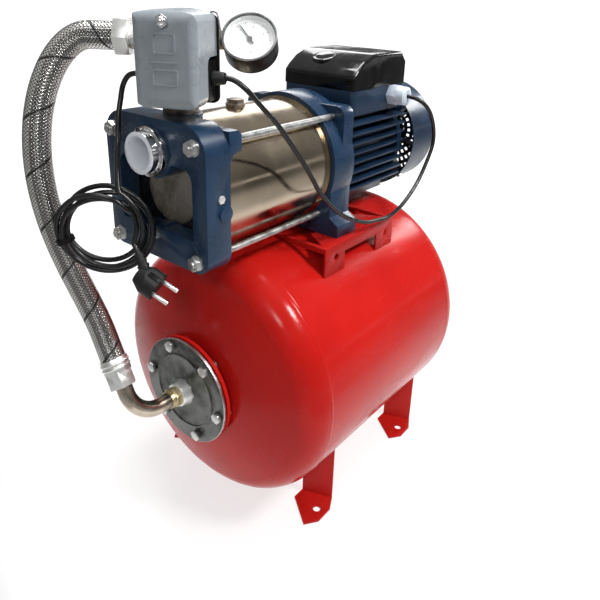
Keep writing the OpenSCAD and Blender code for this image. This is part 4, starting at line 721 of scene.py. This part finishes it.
def carried_frames(path: Sequence[Vector]) -> list[Matrix]:
    """Frames along a path whose z follows it and whose x turns as little as it can."""
    ways = [
        (path[min(i + 1, len(path) - 1)] - path[max(i - 1, 0)]).normalized()
        for i in range(len(path))
    ]
    side = Vector((0, 0, 1)) if abs(ways[0].z) < 0.9 else Vector((1, 0, 0))
    frames = []
    for point, way in zip(path, ways):
        side = (side - side.dot(way) * way).normalized()
        third = way.cross(side)
        turn = Matrix((side, third, way)).transposed().to_4x4()
        frames.append(Matrix.Translation(point) @ turn)
    return frames


def refine(
    node: str, finish: Material, width: float, body: str = "booster", limit: float = 35.0,
    segments: int = 2, marks: Sequence[tuple[Material, Callable[[Vector], bool]]] = (),
) -> bpy.types.Object:
    """Replaces a CAD node by a copy of it with rounded edges.

    Args:
        node: the CAD node's name.
        finish: what the copy wears.
        width: how wide its edges are rounded, in millimetres.
        body: the CAD body that it moves with.
        limit: smallest angle that is rounded, in degrees.
        segments: faces across each round.
        marks: other finishes, each with the test of the faces that wear it.

    Returns:
        The new piece.
    """
    bench = Bench.copy_of(node).ease(width, limit, segments)
    for other, where in marks:
        bench.mark(other, where)
    made = bench.piece(node + "_skin", finish, body)
    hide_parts(node)
    return made


# Routes


def bezier(points: Sequence[Vector], t: float) -> Vector:
    """Point at t on the curve that the control points pull."""
    while len(points) > 1:
        points = [a.lerp(b, t) for a, b in zip(points, points[1:])]
    return points[0]


def spline(points: Sequence[Vector], steps: int) -> list[Vector]:
    """A smooth line through every point, with steps pieces between two of them."""
    out = []
    last = len(points) - 1
    for i in range(last):
        a, b = points[max(i - 1, 0)], points[i]
        c, d = points[i + 1], points[min(i + 2, last)]
        for k in range(steps):
            t = k / steps
            out.append(
                b + t * ((c - a) / 2 + t * (a - 2.5 * b + 2 * c - d / 2
                + t * ((d - a) / 2 + 1.5 * (b - c))))
            )
    return out + [points[last]]


def path_length(path: Sequence[Vector]) -> float:
    """Length of a line of points."""
    return sum((b - a).length for a, b in zip(path, path[1:]))


@dataclass
class Layout:
    """Places that several sub-assemblies share, in millimetres."""

    tank_z: float = 211.0
    port_x: float = -223.0
    cross_z: float = 654.0
    fitting_turn: float = 215.0
    switch_turn: float = 206.5
    switch_z: float = 592.0

    @staticmethod
    def _way(degrees: float) -> Vector:
        """The level direction at an angle from the x axis."""
        return Vector((math.cos(math.radians(degrees)), math.sin(math.radians(degrees)), 0.0))

    @property
    def arm(self) -> Vector:
        """The way from the fitting to the gauge."""
        return self._way(self.fitting_turn + 90.0)

    @property
    def switch_side(self) -> Vector:
        """The way along the switch's width, towards the motor's cable."""
        return self._way(self.switch_turn + 90.0)

    def fitting_axis(self, at: Vector) -> Vector:
        """The point of the fitting's upright axis that is level with a point, in metres."""
        return Vector((self.port_x * MM, 0.0, at.z))

    def switch(self, face: float, side: float, z: float) -> Vector:
        """A point given in the switch's own frame and as a height, in metres."""
        foot = Vector((self.port_x, 0, z))
        return (foot + self._way(self.switch_turn) * face + self.switch_side * side) * MM


LAYOUT = Layout()


# Cords


@dataclass
class Cords:
    """The hose, the motor's cable, and the power cord with its coil and plug."""

    flex_d: float = 5.8
    cable_round: int = 16
    cable_steps: int = 8
    cord_round: int = 14
    cord_steps: int = 6
    turn_steps: int = 48
    hose_d: float = 30.0
    hose_round: int = 48
    hose_at: float = 66.0
    hose_bulge: tuple[float, float, float] = (-399, 98, 514)
    hose_start_pull: float = 54.0
    hose_end_pull: float = 97.0
    hose_steps: int = 110
    cuff_steps: int = 10
    elbow: tuple[float, float, float] = (-313, 0, 211)
    elbow_out: float = 81.4
    elbow_rise: float = math.radians(62.0)
    grommet_l: float = 13.0
    grommet_z: float = 619.5
    cable_start: tuple[float, float] = (32.0, 50.2)
    cord_start: tuple[float, float] = (32.0, -13.2)
    gland: tuple[float, float, float] = (126.0, -62.0, 566.0)
    gland_l: float = 29.0
    cable_route: tuple[Point, ...] = (
        (-214.5, -90, 611), (-198.9, -98, 592), (-179.3, -103, 571.5), (-160.9, -105, 550),
        (-140, -107, 525), (-121, -109, 499), (-101.7, -111, 473), (-62.8, -114, 439),
        (-15.9, -117, 416.5), (16, -118, 410), (47.7, -119, 407), (78, -119, 412),
        (105.4, -119, 424.6), (131, -118.5, 442), (151.5, -118, 464), (166.7, -118, 487.5),
        (168, -118.5, 505), (160.3, -119, 525), (146, -118.5, 545), (132.5, -113, 559),
    )
    cord_route: tuple[Point, ...] = (
        (-269.5, 27, 616), (-271, 36, 605), (-275, 36.5, 590.5), (-281, 34.2, 573),
        (-287, 30, 549), (-295, 22.5, 530), (-302, 14.5, 516),
    )
    tail_route: tuple[Point, ...] = ((-299.9, -9.1, 460.4),)
    coil_middle: tuple[float, float, float] = (-317, 24.8, 455.4)
    coil_face: tuple[float, float, float] = (-0.77, -0.64, 0.0)
    coil_in: float = 54.0
    coil_out: float = 50.0
    coil_r: float = 42.8
    coil_turns: int = 4
    coil_phase: float = 60.0
    coil_wide: float = 1.06
    coil_open: float = 0.6
    strand_gap: float = 0.5
    tie_angle: float = 198.0
    plug_face: tuple[float, float, float] = (-301.3, -42.5, 401.3)
    plug_pins: tuple[float, float, float] = (0.356, -0.785, -0.504)
    plug_neck: tuple[float, float, float] = (0.01, 0.526, 0.85)
    plug_back: float = 11.0
    plug_neck_l: float = 34.0
    pin_start: float = 1.0
    pin_edge: float = 0.3

    def hose_path(self) -> list[Vector]:
        """Middle line of the braided hose, in metres."""
        way = LAYOUT.arm * -1.0
        rise = Vector((0, math.cos(self.elbow_rise), math.sin(self.elbow_rise)))
        start = Vector((LAYOUT.port_x, 0, LAYOUT.cross_z)) + way * self.hose_at
        end = Vector(self.elbow) + rise * self.elbow_out
        near, far = start + way * self.hose_d, end + rise * self.hose_d
        pull = [
            near, near + way * self.hose_start_pull, Vector(self.hose_bulge),
            far + rise * self.hose_end_pull, far,
        ]
        cuff, steps = self.cuff_steps, self.hose_steps
        lead = [start.lerp(near, i / cuff) for i in range(cuff)]
        curve = [bezier(pull, i / steps) for i in range(steps + 1)]
        trail = [far.lerp(end, i / cuff) for i in range(1, cuff + 1)]
        return [p * MM for p in lead + curve + trail]

    def cable_path(self) -> list[Vector]:
        """Middle line of the cable from the switch to the motor, in metres."""
        start = LAYOUT.switch(*self.cable_start, self.grommet_z)
        out = start + LAYOUT.switch_side * (self.grommet_l + self.flex_d) * MM
        gland = Vector(self.gland) * MM
        mouth = gland - Vector((0, (self.gland_l + self.flex_d) * MM, 0))
        points = [start, out, *(Vector(p) * MM for p in self.cable_route), mouth, gland]
        return spline(points, self.cable_steps)

    def coil_point(self, angle: float) -> Vector:
        """Point of the coil at an angle in degrees from its start, in metres.

        Args:
            angle: how far the strand has run round the hank, in degrees.

        Returns:
            The middle of the strand there, wound about the hank's own middle line.
        """
        face = Vector(self.coil_face).normalized()
        level = Vector((-face.y, face.x, 0.0))
        strands = self.coil_turns + 1
        turn = math.radians(self.coil_in - angle)
        wind = math.radians(self.coil_phase + angle * (1.0 - 1.0 / strands))
        bundle = (self.flex_d + self.strand_gap) / (2.0 * math.sin(math.pi / strands))
        spread = (1.0 - math.cos(turn - math.radians(self.tie_angle))) / 2.0
        bundle *= 1.0 + self.coil_open * spread
        flat = level * math.cos(turn) * self.coil_wide + Vector((0, 0, 1)) * math.sin(turn)
        reach = self.coil_r + bundle * math.cos(wind)
        return (Vector(self.coil_middle) + reach * flat + bundle * math.sin(wind) * face) * MM

    def cord_path(self) -> list[Vector]:
        """Middle line of the power cord from the switch, round its coil, to the plug."""
        total = 360 * self.coil_turns + self.coil_in - self.coil_out
        rings = self.turn_steps * self.coil_turns
        coil = [self.coil_point(total * i / rings) for i in range(rings + 1)]
        start = LAYOUT.switch(*self.cord_start, self.grommet_z)
        out = start - LAYOUT.switch_side * (self.grommet_l + self.flex_d) * MM
        lead = (coil[0] - coil[1]).normalized() * self.flex_d * MM
        trail = (coil[-1] - coil[-2]).normalized() * self.flex_d * MM
        down = [start, out, *(Vector(p) * MM for p in self.cord_route), coil[0] + 2 * lead,
                coil[0] + lead, coil[0]]
        neck = Vector(self.plug_neck).normalized()
        plug = Vector(self.plug_face) - Vector(self.plug_pins) * self.plug_back
        plug = (plug + neck * self.plug_neck_l) * MM
        back = neck * self.flex_d * MM
        tail = [coil[-1], coil[-1] + trail, coil[-1] + 2 * trail,
                *(Vector(p) * MM for p in self.tail_route), plug + 2 * back, plug + back, plug]
        return spline(down, self.cord_steps)[:-1] + coil + spline(tail, self.cord_steps)[1:]

    def build(self) -> None:
        hose, cable, cord = self.hose_path(), self.cable_path(), self.cord_path()
        piece = self._swept("hose_braid", Material.BRAID, hose, self.hose_d, self.hose_round)
        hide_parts("braided_hose")
        path_length(hose)
        piece = self._swept("motor_flex", Material.FLEX, cable, self.flex_d, self.cable_round)
        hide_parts("motor_cable")
        path_length(cable)
        piece = self._swept("mains_flex", Material.FLEX, cord, self.flex_d, self.cord_round)
        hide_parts("power_cord", "power_cord_coil")
        path_length(cord)
        dress("cord_tie", Material.BLACK_PLASTIC)
        dress("mains_plug", Material.BLACK_RUBBER)
        pins, face = Vector(self.plug_pins), Vector(self.plug_face) * MM
        refine(
            "plug_pins", Material.NICKEL, self.pin_edge,
            marks=[
                (Material.BLACK_PLASTIC, lambda at: (at - face).dot(pins) < self.pin_start * MM),
            ],
        )

    @staticmethod
    def _swept(
        name: str, finish: Material, path: Sequence[Vector], wide: float, around: int
    ) -> bpy.types.Object:
        """Makes the piece of a cord.

        Args:
            name: the piece's name.
            finish: what it wears.
            path: its middle line, in metres.
            wide: its diameter, in millimetres.
            around: points round it.

        Returns:
            The piece.
        """
        return Bench().tube(path, wide / 2 * MM, around).piece(name, finish, "booster")


# Sub-assemblies


class Assembly:
    """A sub-assembly of CAD nodes that wear their finishes.

    The nodes of plain keep their shape, and those of rounded get edges of that many millimetres.
    """

    plain: ClassVar[dict[str, Material]] = {}
    rounded: ClassVar[dict[str, tuple[Material, float]]] = {}

    def build(self) -> None:
        """Dresses the nodes."""
        for node, finish in self.plain.items():
            dress(node, finish)
        for node, (finish, width) in self.rounded.items():
            refine(node, finish, width)


@dataclass
class Tank(Assembly):
    """The tank's counterflange, feet and table, and the fittings on its flange."""

    flange_rim_r: float = 72.0
    flange_edge: float = 0.7
    boss_r: float = 20.2
    boss_from_x: float = -239.5
    plain: ClassVar = {
        "tank_shell": Material.TANK_RED, "tank_membrane": Material.BLACK_RUBBER,
        "elbow_tube": Material.WARM_NICKEL,
    }
    rounded: ClassVar = {
        "tank_feet": (Material.SHEET_RED, 0.6), "pump_table": (Material.SHEET_RED, 0.6),
        "flange_bolts": (Material.ZINC, 0.5), "table_bolts": (Material.ZINC, 0.5),
        "lower_hose_nut": (Material.NICKEL, 0.5), "upper_hose_nut": (Material.NICKEL, 0.5),
        "brass_adapter": (Material.BRASS, 0.4), "air_valve": (Material.BRASS, 0.3),
        "air_valve_cap": (Material.BLACK_PLASTIC, 0.8),
    }

    def build(self) -> None:
        """Makes the pieces on the tank."""
        super().build()
        refine(
            "counterflange", Material.FLANGE_ZINC, self.flange_edge, segments=3,
            marks=[(Material.FLANGE_RIM, self._on_rim), (Material.NICKEL, self._on_boss)],
        )

    def _off_axis(self, at: Vector) -> float:
        """Distance of a point from the tank's axis, in millimetres."""
        return math.hypot(at.y / MM, at.z / MM - LAYOUT.tank_z)

    def _on_rim(self, at: Vector) -> bool:
        """Whether a face of the counterflange is on its bright rim."""
        return self._off_axis(at) > self.flange_rim_r

    def _on_boss(self, at: Vector) -> bool:
        """Whether a face of the counterflange is on its machined boss."""
        return self._off_axis(at) < self.boss_r and at.x < self.boss_from_x * MM


@dataclass
class Pump(Assembly):
    """The casting, the shell and what is screwed to them."""

    cast_edge: float = 1.4
    fitting_edge: float = 0.5
    port_face: float = -22.0
    plain: ClassVar = {
        "pump_shell": Material.SHELL_STEEL, "tie_rods": Material.ZINC,
        "diffusers": Material.PLATE_STEEL, "impellers": Material.PLATE_STEEL,
        "seal_seat": Material.CERAMIC, "rotor_shaft": Material.DARK_STEEL,
    }
    rounded: ClassVar = {
        "front_cover": (Material.PLATE_STEEL, 0.4), "suction_nipple": (Material.POLISHED, 0.5),
        "nipple_liner": (Material.LINER_WHITE, 0.6), "filler_plug": (Material.BRONZE_AND_SHADE, 0.6),
        "drain_plug": (Material.NICKEL, 0.5), "vent_screw": (Material.NICKEL, 0.5),
        "tie_rod_nuts": (Material.ZINC, 0.5),
    }

    def build(self) -> None:
        """Makes the pump's pieces."""
        super().build()
        for node in ("front_casting", "motor_bracket"):
            refine(node, Material.CAST_BLUE, self.cast_edge, segments=3)
        refine(
            "five_way_fitting", Material.BRASS, self.fitting_edge,
            # Below the switch, dark bronze paints the shadow that the switch casts on the fitting.
            marks=[(Material.NICKEL, self._at_hose), (Material.BRONZE_AND_SHADE, self._in_switch_shade)],
        )

    def _at_hose(self, at: Vector) -> bool:
        """Whether a face of the fitting is at its port for the hose."""
        return (at - LAYOUT.fitting_axis(at)).dot(LAYOUT.arm) < self.port_face * MM

    def _in_switch_shade(self, at: Vector) -> bool:
        """Whether a face of the fitting is on its collar below the switch, where dark bronze paints
        the switch's shadow.
        """
        return at.z < LAYOUT.switch_z * MM


@dataclass
class Motor(Assembly):
    """The motor with its terminal box and its fan's cover."""

    lid_z: float = 579.5
    lid_w: float = 124.0
    lid_side: tuple[tuple[float, float], ...] = (
        (27.0, 0.0), (165.0, 0.0), (165.0, 33.0), (157.0, 40.0), (152.0, 46.6), (76.0, 46.6),
        (52.0, 38.0), (36.0, 27.0), (27.0, 19.0),
    )
    lid_foot: float = 1.0
    lid_round: float = 5.0
    lid_steps: int = 5
    cap_at: tuple[float, float, float] = (58.0, 12.0, 619.0)
    cap_lean: float = 18.0
    cap_outline: tuple[tuple[float, float], ...] = (
        (-12.0, 0.0), (-12.0, 19.0), (-1.0, 19.0), (0.6, 18.4), (1.2, 17.0), (0.4, 15.0),
        (0.4, 13.0), (1.4, 10.0), (2.0, 0.0),
    )
    cap_round: int = 72
    gland_at: tuple[float, float, float] = (126.0, -81.5, 566.0)
    gland_edge: float = 0.5
    rib_n: int = 22
    rib_r: float = 12.1
    rib: tuple[float, float, float] = (1.0, 13.0, 1.7)
    rib_edge: float = 0.35
    plain: ClassVar = {
        "fan_cover": Material.FRAME_BLUE, "stator": Material.COPPER,
        "bearings": Material.DARK_STEEL, "rotor_core": Material.DARK_STEEL,
        "cooling_fan": Material.BLACK_PLASTIC, "terminal_block": Material.BLACK_PLASTIC,
        "capacitor": Material.CAN_ALUMINIUM,
    }
    rounded: ClassVar = {
        "motor_frame": (Material.FRAME_BLUE, 0.7), "rear_shield": (Material.FRAME_BLUE, 0.8),
        "cover_screws": (Material.ZINC, 0.3),
    }

    def build(self) -> None:
        """Makes the motor's pieces."""
        super().build()
        self._lid()
        self._cap()
        self._gland()

    def _lid(self) -> None:
        """Makes the glossy cover of the terminal box, softer than the CAD's."""
        bench = Bench()
        bm, near = bench.bm, -self.lid_w / 2
        outline = [bm.verts.new(Vector((x, near, self.lid_z + z)) * MM) for x, z in self.lid_side]
        grown = bmesh.ops.extrude_face_region(bm, geom=[bm.faces.new(outline)])["geom"]
        far = [v for v in grown if isinstance(v, bmesh.types.BMVert)]
        bmesh.ops.translate(bm, vec=(0, self.lid_w * MM, 0), verts=far)
        bmesh.ops.recalc_face_normals(bm, faces=bm.faces)
        foot = (self.lid_z + self.lid_foot) * MM
        upper = [e for e in bm.edges if any(v.co.z >= foot for v in e.verts)]
        bmesh.ops.bevel(
            bm, geom=upper, offset=self.lid_round * MM, offset_type="OFFSET",
            segments=self.lid_steps, profile=0.5, affect="EDGES", clamp_overlap=True, material=-1,
        )
        made = bench.piece("terminal_cover_skin", Material.BLACK_GLOSS, "booster", 50.0)
        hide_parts("terminal_cover")

    def _cap(self) -> None:
        """Makes the round cap on the slope of the terminal cover."""
        lean = Matrix.Rotation(math.radians(-self.cap_lean), 4, "Y")
        upright = Matrix.Rotation(math.radians(-90.0), 4, "Y")
        place = Matrix.Translation(Vector(self.cap_at) * MM) @ lean @ upright
        cap = Bench().lathe(self.cap_outline, self.cap_round).move(place)
        cap.piece("terminal_cover_cap", Material.BLACK_GLOSS, "booster", 40.0)

    def _gland(self) -> None:
        """Makes the cable gland with the ribs of its nut."""
        bench = Bench.copy_of("cable_gland").ease(self.gland_edge)
        made = bench.piece("cable_gland_skin", Material.GLAND_GREY, "booster")
        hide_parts("cable_gland")
        ribs = Bench()
        out = Matrix.Translation((self.rib_r * MM, 0, 0))
        for i in range(self.rib_n):
            turn = Matrix.Rotation(math.tau * i / self.rib_n, 4, "Y")
            place = Matrix.Translation(Vector(self.gland_at) * MM) @ turn @ out
            ribs.bar(self.rib, place, self.rib_edge, 2)
        ribs.piece("gland_ribs", Material.GLAND_GREY, "booster")


@dataclass
class Switch(Assembly):
    """The pressure switch, the fitting's gauge and the wire beside it."""

    lever_edge: float = 0.2
    wire_d: float = 1.8
    wire: tuple[tuple[float, float, float], ...] = (
        (23.5, 44.0, 682.0), (24.0, 49.0, 683.5), (25.0, 53.0, 681.5), (26.0, 55.0, 675.0),
        (27.0, 57.0, 665.0), (28.0, 60.0, 651.0),
    )
    wire_steps: int = 6
    wire_round: int = 10
    gauge_at: float = 77.5
    gauge_drop: float = 2.0
    gauge_tilt: float = 51.0
    gauge_r: float = 29.25
    gauge_t: float = 25.0
    gauge_edge: float = 0.5
    gauge_round: int = 96
    stem_back: float = 28.5
    rim: tuple[tuple[float, float], ...] = (
        (-1.0, 0.15), (0.3, 0.15), (0.7, -0.3), (0.7, -1.4), (0.1, -1.9), (-0.1, -1.9),
        (-0.1, -0.2), (-1.0, -0.2), (-1.0, 0.15),
    )
    sleeve: tuple[tuple[float, float], ...] = (
        (-5.9, -2.3), (-2.15, -2.3), (-2.15, -2.9), (-5.0, -4.2), (-5.9, -4.2), (-5.9, -2.3),
    )
    dial_deep: float = 6.0
    zero: float = 225.0
    sweep: float = -270.0
    tick_n: int = 50
    tick_out: float = 22.4
    tick: tuple[float, float, float] = (1.7, 0.3, 0.1)
    long_tick: tuple[float, float, float] = (3.2, 0.5, 0.1)
    long_every: int = 5
    number_n: int = 6
    number_step: int = 2
    number_r: float = 15.6
    number_h: float = 3.9
    number_lift: float = 0.02
    plain: ClassVar = {
        "switch_cover": Material.SWITCH_GREY, "switch_spring": Material.DARK_STEEL,
        "gauge_lens": Material.GLASS, "gauge_needle": Material.DIAL_INK,
        "gauge_dial": Material.DIAL_WHITE,
    }
    rounded: ClassVar = {
        "switch_plate": (Material.BLACK_PLASTIC, 0.5), "switch_nuts": (Material.POLISHED, 0.3),
        "switch_block": (Material.BLACK_PLASTIC, 0.6),
        "switch_grommets": (Material.BLACK_RUBBER, 0.8), "switch_nipple": (Material.BRASS, 0.3),
    }

    def build(self) -> None:
        """Makes the switch and the gauge."""
        super().build()
        refine("switch_lever", Material.DARK_STEEL, self.lever_edge, "lever")
        path = spline([LAYOUT.switch(*p) for p in self.wire], self.wire_steps)
        Bench().tube(path, self.wire_d / 2 * MM, self.wire_round).piece(
            "switch_wire", Material.DARK_STEEL, "booster"
        )
        self._gauge()

    @property
    def _frame(self) -> Matrix:
        """The gauge's own frame: z points out of its dial."""
        way = LAYOUT.arm
        face = Vector((-way.y, way.x, 0.0)) * -1.0
        tilt = math.radians(self.gauge_tilt)
        out = face * math.sin(tilt) + Vector((0, 0, 1)) * math.cos(tilt)
        side = face * math.cos(tilt) - Vector((0, 0, 1)) * math.sin(tilt)
        third = out.cross(side)
        foot = Vector((LAYOUT.port_x, 0, LAYOUT.cross_z - self.gauge_drop)) + way * self.gauge_at
        return Matrix.Translation(foot * MM) @ Matrix((side, third, out)).transposed().to_4x4()

    def _gauge(self) -> None:
        """Makes the gauge's case, its rings and the marks of its dial."""
        refine(
            "gauge_case", Material.BLACK_PLASTIC, self.gauge_edge,
            marks=[(Material.BRASS, self._on_stem)],
        )
        self._ring("gauge_rim", self.rim, Material.DARK_STEEL)
        self._ring("gauge_sleeve", self.sleeve, Material.DIAL_WHITE)
        self._ticks()
        self._numbers()

    def _on_stem(self, at: Vector) -> bool:
        """Whether a face of the gauge's case is on its brass stem."""
        return (at - self._frame.translation).dot(LAYOUT.arm) < -self.stem_back * MM

    def _ring(
        self, name: str, outline: Sequence[tuple[float, float]], finish: Material
    ) -> None:
        """Turns a ring of the gauge.

        Args:
            name: the piece's name.
            outline: its outline, from the front edge of the case: out of the face, and outwards.
            finish: what it wears.
        """
        front, edge = self.gauge_t / 2, self.gauge_r
        upright = self._frame @ Matrix.Rotation(math.radians(-90.0), 4, "Y")
        ring = Bench().lathe([(front + x, edge + r) for x, r in outline], self.gauge_round)
        ring.move(upright).piece(name, finish, "booster")

    def _on_dial(self, share: float) -> Matrix:
        """The dial's frame, with x turned to a share of the sweep from zero."""
        lift = Matrix.Translation((0, 0, (self.gauge_t / 2 - self.dial_deep) * MM))
        return self._frame @ lift @ Matrix.Rotation(
            math.radians(self.zero + self.sweep * share), 4, "Z"
        )

    def _ticks(self) -> None:
        """Makes the dial's ticks."""
        bench = Bench()
        for i in range(self.tick_n + 1):
            tick = self.tick if i % self.long_every else self.long_tick
            out = Matrix.Translation(((self.tick_out - tick[0] / 2) * MM, 0, 0))
            bench.bar(tick, self._on_dial(i / self.tick_n) @ out)
        bench.piece("dial_ticks", Material.DIAL_INK, "booster")

    def _numbers(self) -> None:
        """Makes the dial's round numbers, all upright."""
        bench = Bench()
        for k in range(self.number_n):
            turned = self._on_dial(k / (self.number_n - 1))
            at = turned @ Vector((self.number_r * MM, 0, self.number_lift * MM))
            upright = self._frame.to_3x3().to_4x4() @ Matrix.Rotation(math.radians(90.0), 4, "Z")
            bench.word(
                str(self.number_step * k), self.number_h, Matrix.Translation(at) @ upright
            )
        bench.piece("dial_numbers", Material.DIAL_INK, "booster")


# Stage


@dataclass(frozen=True)
class Lamp:
    """One soft square lamp, with its place and its side in metres and its power in watts."""

    name: str
    at: tuple[float, float, float]
    size: float
    power: float

    def hang(self, target: Vector) -> None:
        """Hangs the lamp so that it faces a point."""
        data = bpy.data.lights.new(self.name, "AREA")
        data.shape = "SQUARE"
        data.size = self.size
        data.energy = self.power
        lamp = bpy.data.objects.new(self.name, data)
        bpy.context.scene.collection.objects.link(lamp)
        aim = (target - Vector(self.at)).to_track_quat("-Z", "Y")
        lamp.matrix_world = Matrix.Translation(self.at) @ aim.to_matrix().to_4x4()


@dataclass
class Studio:
    """The camera, the floor and the lights, with the eye in millimetres."""

    eye: tuple[float, float, float] = (-669.6, -524.9, 708.4)
    azimuth: float = -52.58
    elevation: float = 21.12
    roll: float = 2.08
    focal_px: float = 607.75
    middle_px: tuple[float, float] = (308.05, 223.12)
    frame_px: float = 600.0
    sensor: float = 36.0
    floor_reach: float = 150.0
    floor_grey: Colour = (0.32, 0.32, 0.32)
    glow: float = 1.02
    glow_wide: tuple[float, float] = (0.55, 0.9)
    glow_from: tuple[float, float] = (0.9, 3.5)
    glow_dimmed: float = 0.32
    sky: tuple[tuple[float, Colour], ...] = (
        (0.0, (1.0, 1.0, 1.0)), (0.02, (1.0, 1.0, 1.0)), (0.05, (0.12, 0.12, 0.12)),
        (1.0, (0.5, 0.5, 0.5)),
    )
    target: tuple[float, float, float] = (-0.05, 0.0, 0.35)
    lamps: tuple[Lamp, ...] = (
        Lamp("key", (0.3, -1.7, 2.3), 0.5, 60.0),
        Lamp("top", (0.2, 0.3, 2.5), 0.9, 40.0),
        Lamp("front", (-1.6, -0.9, 1.5), 0.3, 7.5),
        Lamp("rim", (1.7, -0.4, 1.2), 0.4, 8.0),
        Lamp("window", (1.95, 1.42, 1.7), 1.0, 14.0),
    )

    def build(self) -> None:
        """Sets up the camera, the floor, the sky and the lamps."""
        bpy.context.scene.view_settings.view_transform = "Standard"
        self._camera()
        self._floor()
        self._sky()
        for lamp in self.lamps:
            lamp.hang(Vector(self.target))

    def _camera(self) -> None:
        """Stands the camera where the photograph was taken."""
        az, el, roll = (math.radians(a) for a in (self.azimuth, self.elevation, self.roll))
        back = Vector((math.sin(az) * math.cos(el), -math.cos(az) * math.cos(el), math.sin(el)))
        right0 = Vector((math.cos(az), math.sin(az), 0.0))
        up0 = back.cross(right0)
        right = right0 * math.cos(roll) + up0 * math.sin(roll)
        up = up0 * math.cos(roll) - right0 * math.sin(roll)
        data = bpy.data.cameras.new("camera")
        data.sensor_width = self.sensor
        data.lens = self.sensor * self.focal_px / self.frame_px
        data.shift_x = (self.frame_px / 2 - self.middle_px[0]) / self.frame_px
        data.shift_y = (self.middle_px[1] - self.frame_px / 2) / self.frame_px
        camera = bpy.data.objects.new("camera", data)
        bpy.context.scene.collection.objects.link(camera)
        turn = Matrix((right, up, back)).transposed().to_4x4()
        camera.matrix_world = Matrix.Translation(Vector(self.eye) * MM) @ turn
        bpy.context.scene.camera = camera

    def _floor(self) -> None:
        """Lays the pale floor, which glows where the camera sees it, like a lit paper sweep."""
        bm = bmesh.new()
        bmesh.ops.create_grid(bm, x_segments=1, y_segments=1, size=self.floor_reach)
        mesh = bpy.data.meshes.new("floor")
        bm.to_mesh(mesh)
        bm.free()
        floor = bpy.data.objects.new("floor", mesh)
        bpy.context.scene.collection.objects.link(floor)
        g = Graph("floor")
        at = g.place()
        x, y = g.axis(at, "X") - self.eye[0] * MM, g.axis(at, "Y") - self.eye[1] * MM
        side = math.radians(self.azimuth)
        ahead = y * math.cos(side) - x * math.sin(side)
        across = (x * math.cos(side) + y * math.sin(side)).absolute()
        seen = (across / ahead.largest(0.05)).ramp(*self.glow_wide, 1.0, 0.0) * ahead.above(0.0)
        dimmed = ahead.ramp(*self.glow_from, self.glow_dimmed, 0.0)
        lit = g.mix(seen, (0.0, 0.0, 0.0), (1.0, 1.0, 1.0))
        mesh.materials.append(
            g.shade(
                Base_Color=self.floor_grey, Roughness=0.8, Specular_IOR_Level=0.05,
                Emission_Color=g.mix(dimmed, lit, (0.0, 0.0, 0.0)), Emission_Strength=self.glow,
            )
        )

    def _sky(self) -> None:
        """Fills the room with dim light, with a pale line at the horizon behind the floor."""
        g = Graph("room", sky=True)
        height = g.axis(g.node("ShaderNodeTexCoord", out="Generated"), "Z")
        light = g.node("ShaderNodeValToRGB", {"stops": self.sky}, {"Fac": height})
        bpy.context.scene.world = g.shade(Color=light, Strength=1.0)


def main() -> None:
    """Dresses the set."""
    logging.basicConfig(level=logging.INFO, format="%(message)s")
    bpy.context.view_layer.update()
    Studio().build()
    Cords().build()
    for assembly in (Tank(), Pump(), Motor(), Switch()):
        LOG.info("assembly %s", type(assembly).__name__)
        assembly.build()


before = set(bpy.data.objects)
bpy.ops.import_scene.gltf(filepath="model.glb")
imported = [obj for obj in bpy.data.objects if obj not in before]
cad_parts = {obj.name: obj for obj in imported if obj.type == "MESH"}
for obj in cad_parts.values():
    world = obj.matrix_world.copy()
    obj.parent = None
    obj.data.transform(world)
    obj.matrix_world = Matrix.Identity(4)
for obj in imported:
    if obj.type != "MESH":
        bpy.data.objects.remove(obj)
if __name__ == "__main__":
    main()
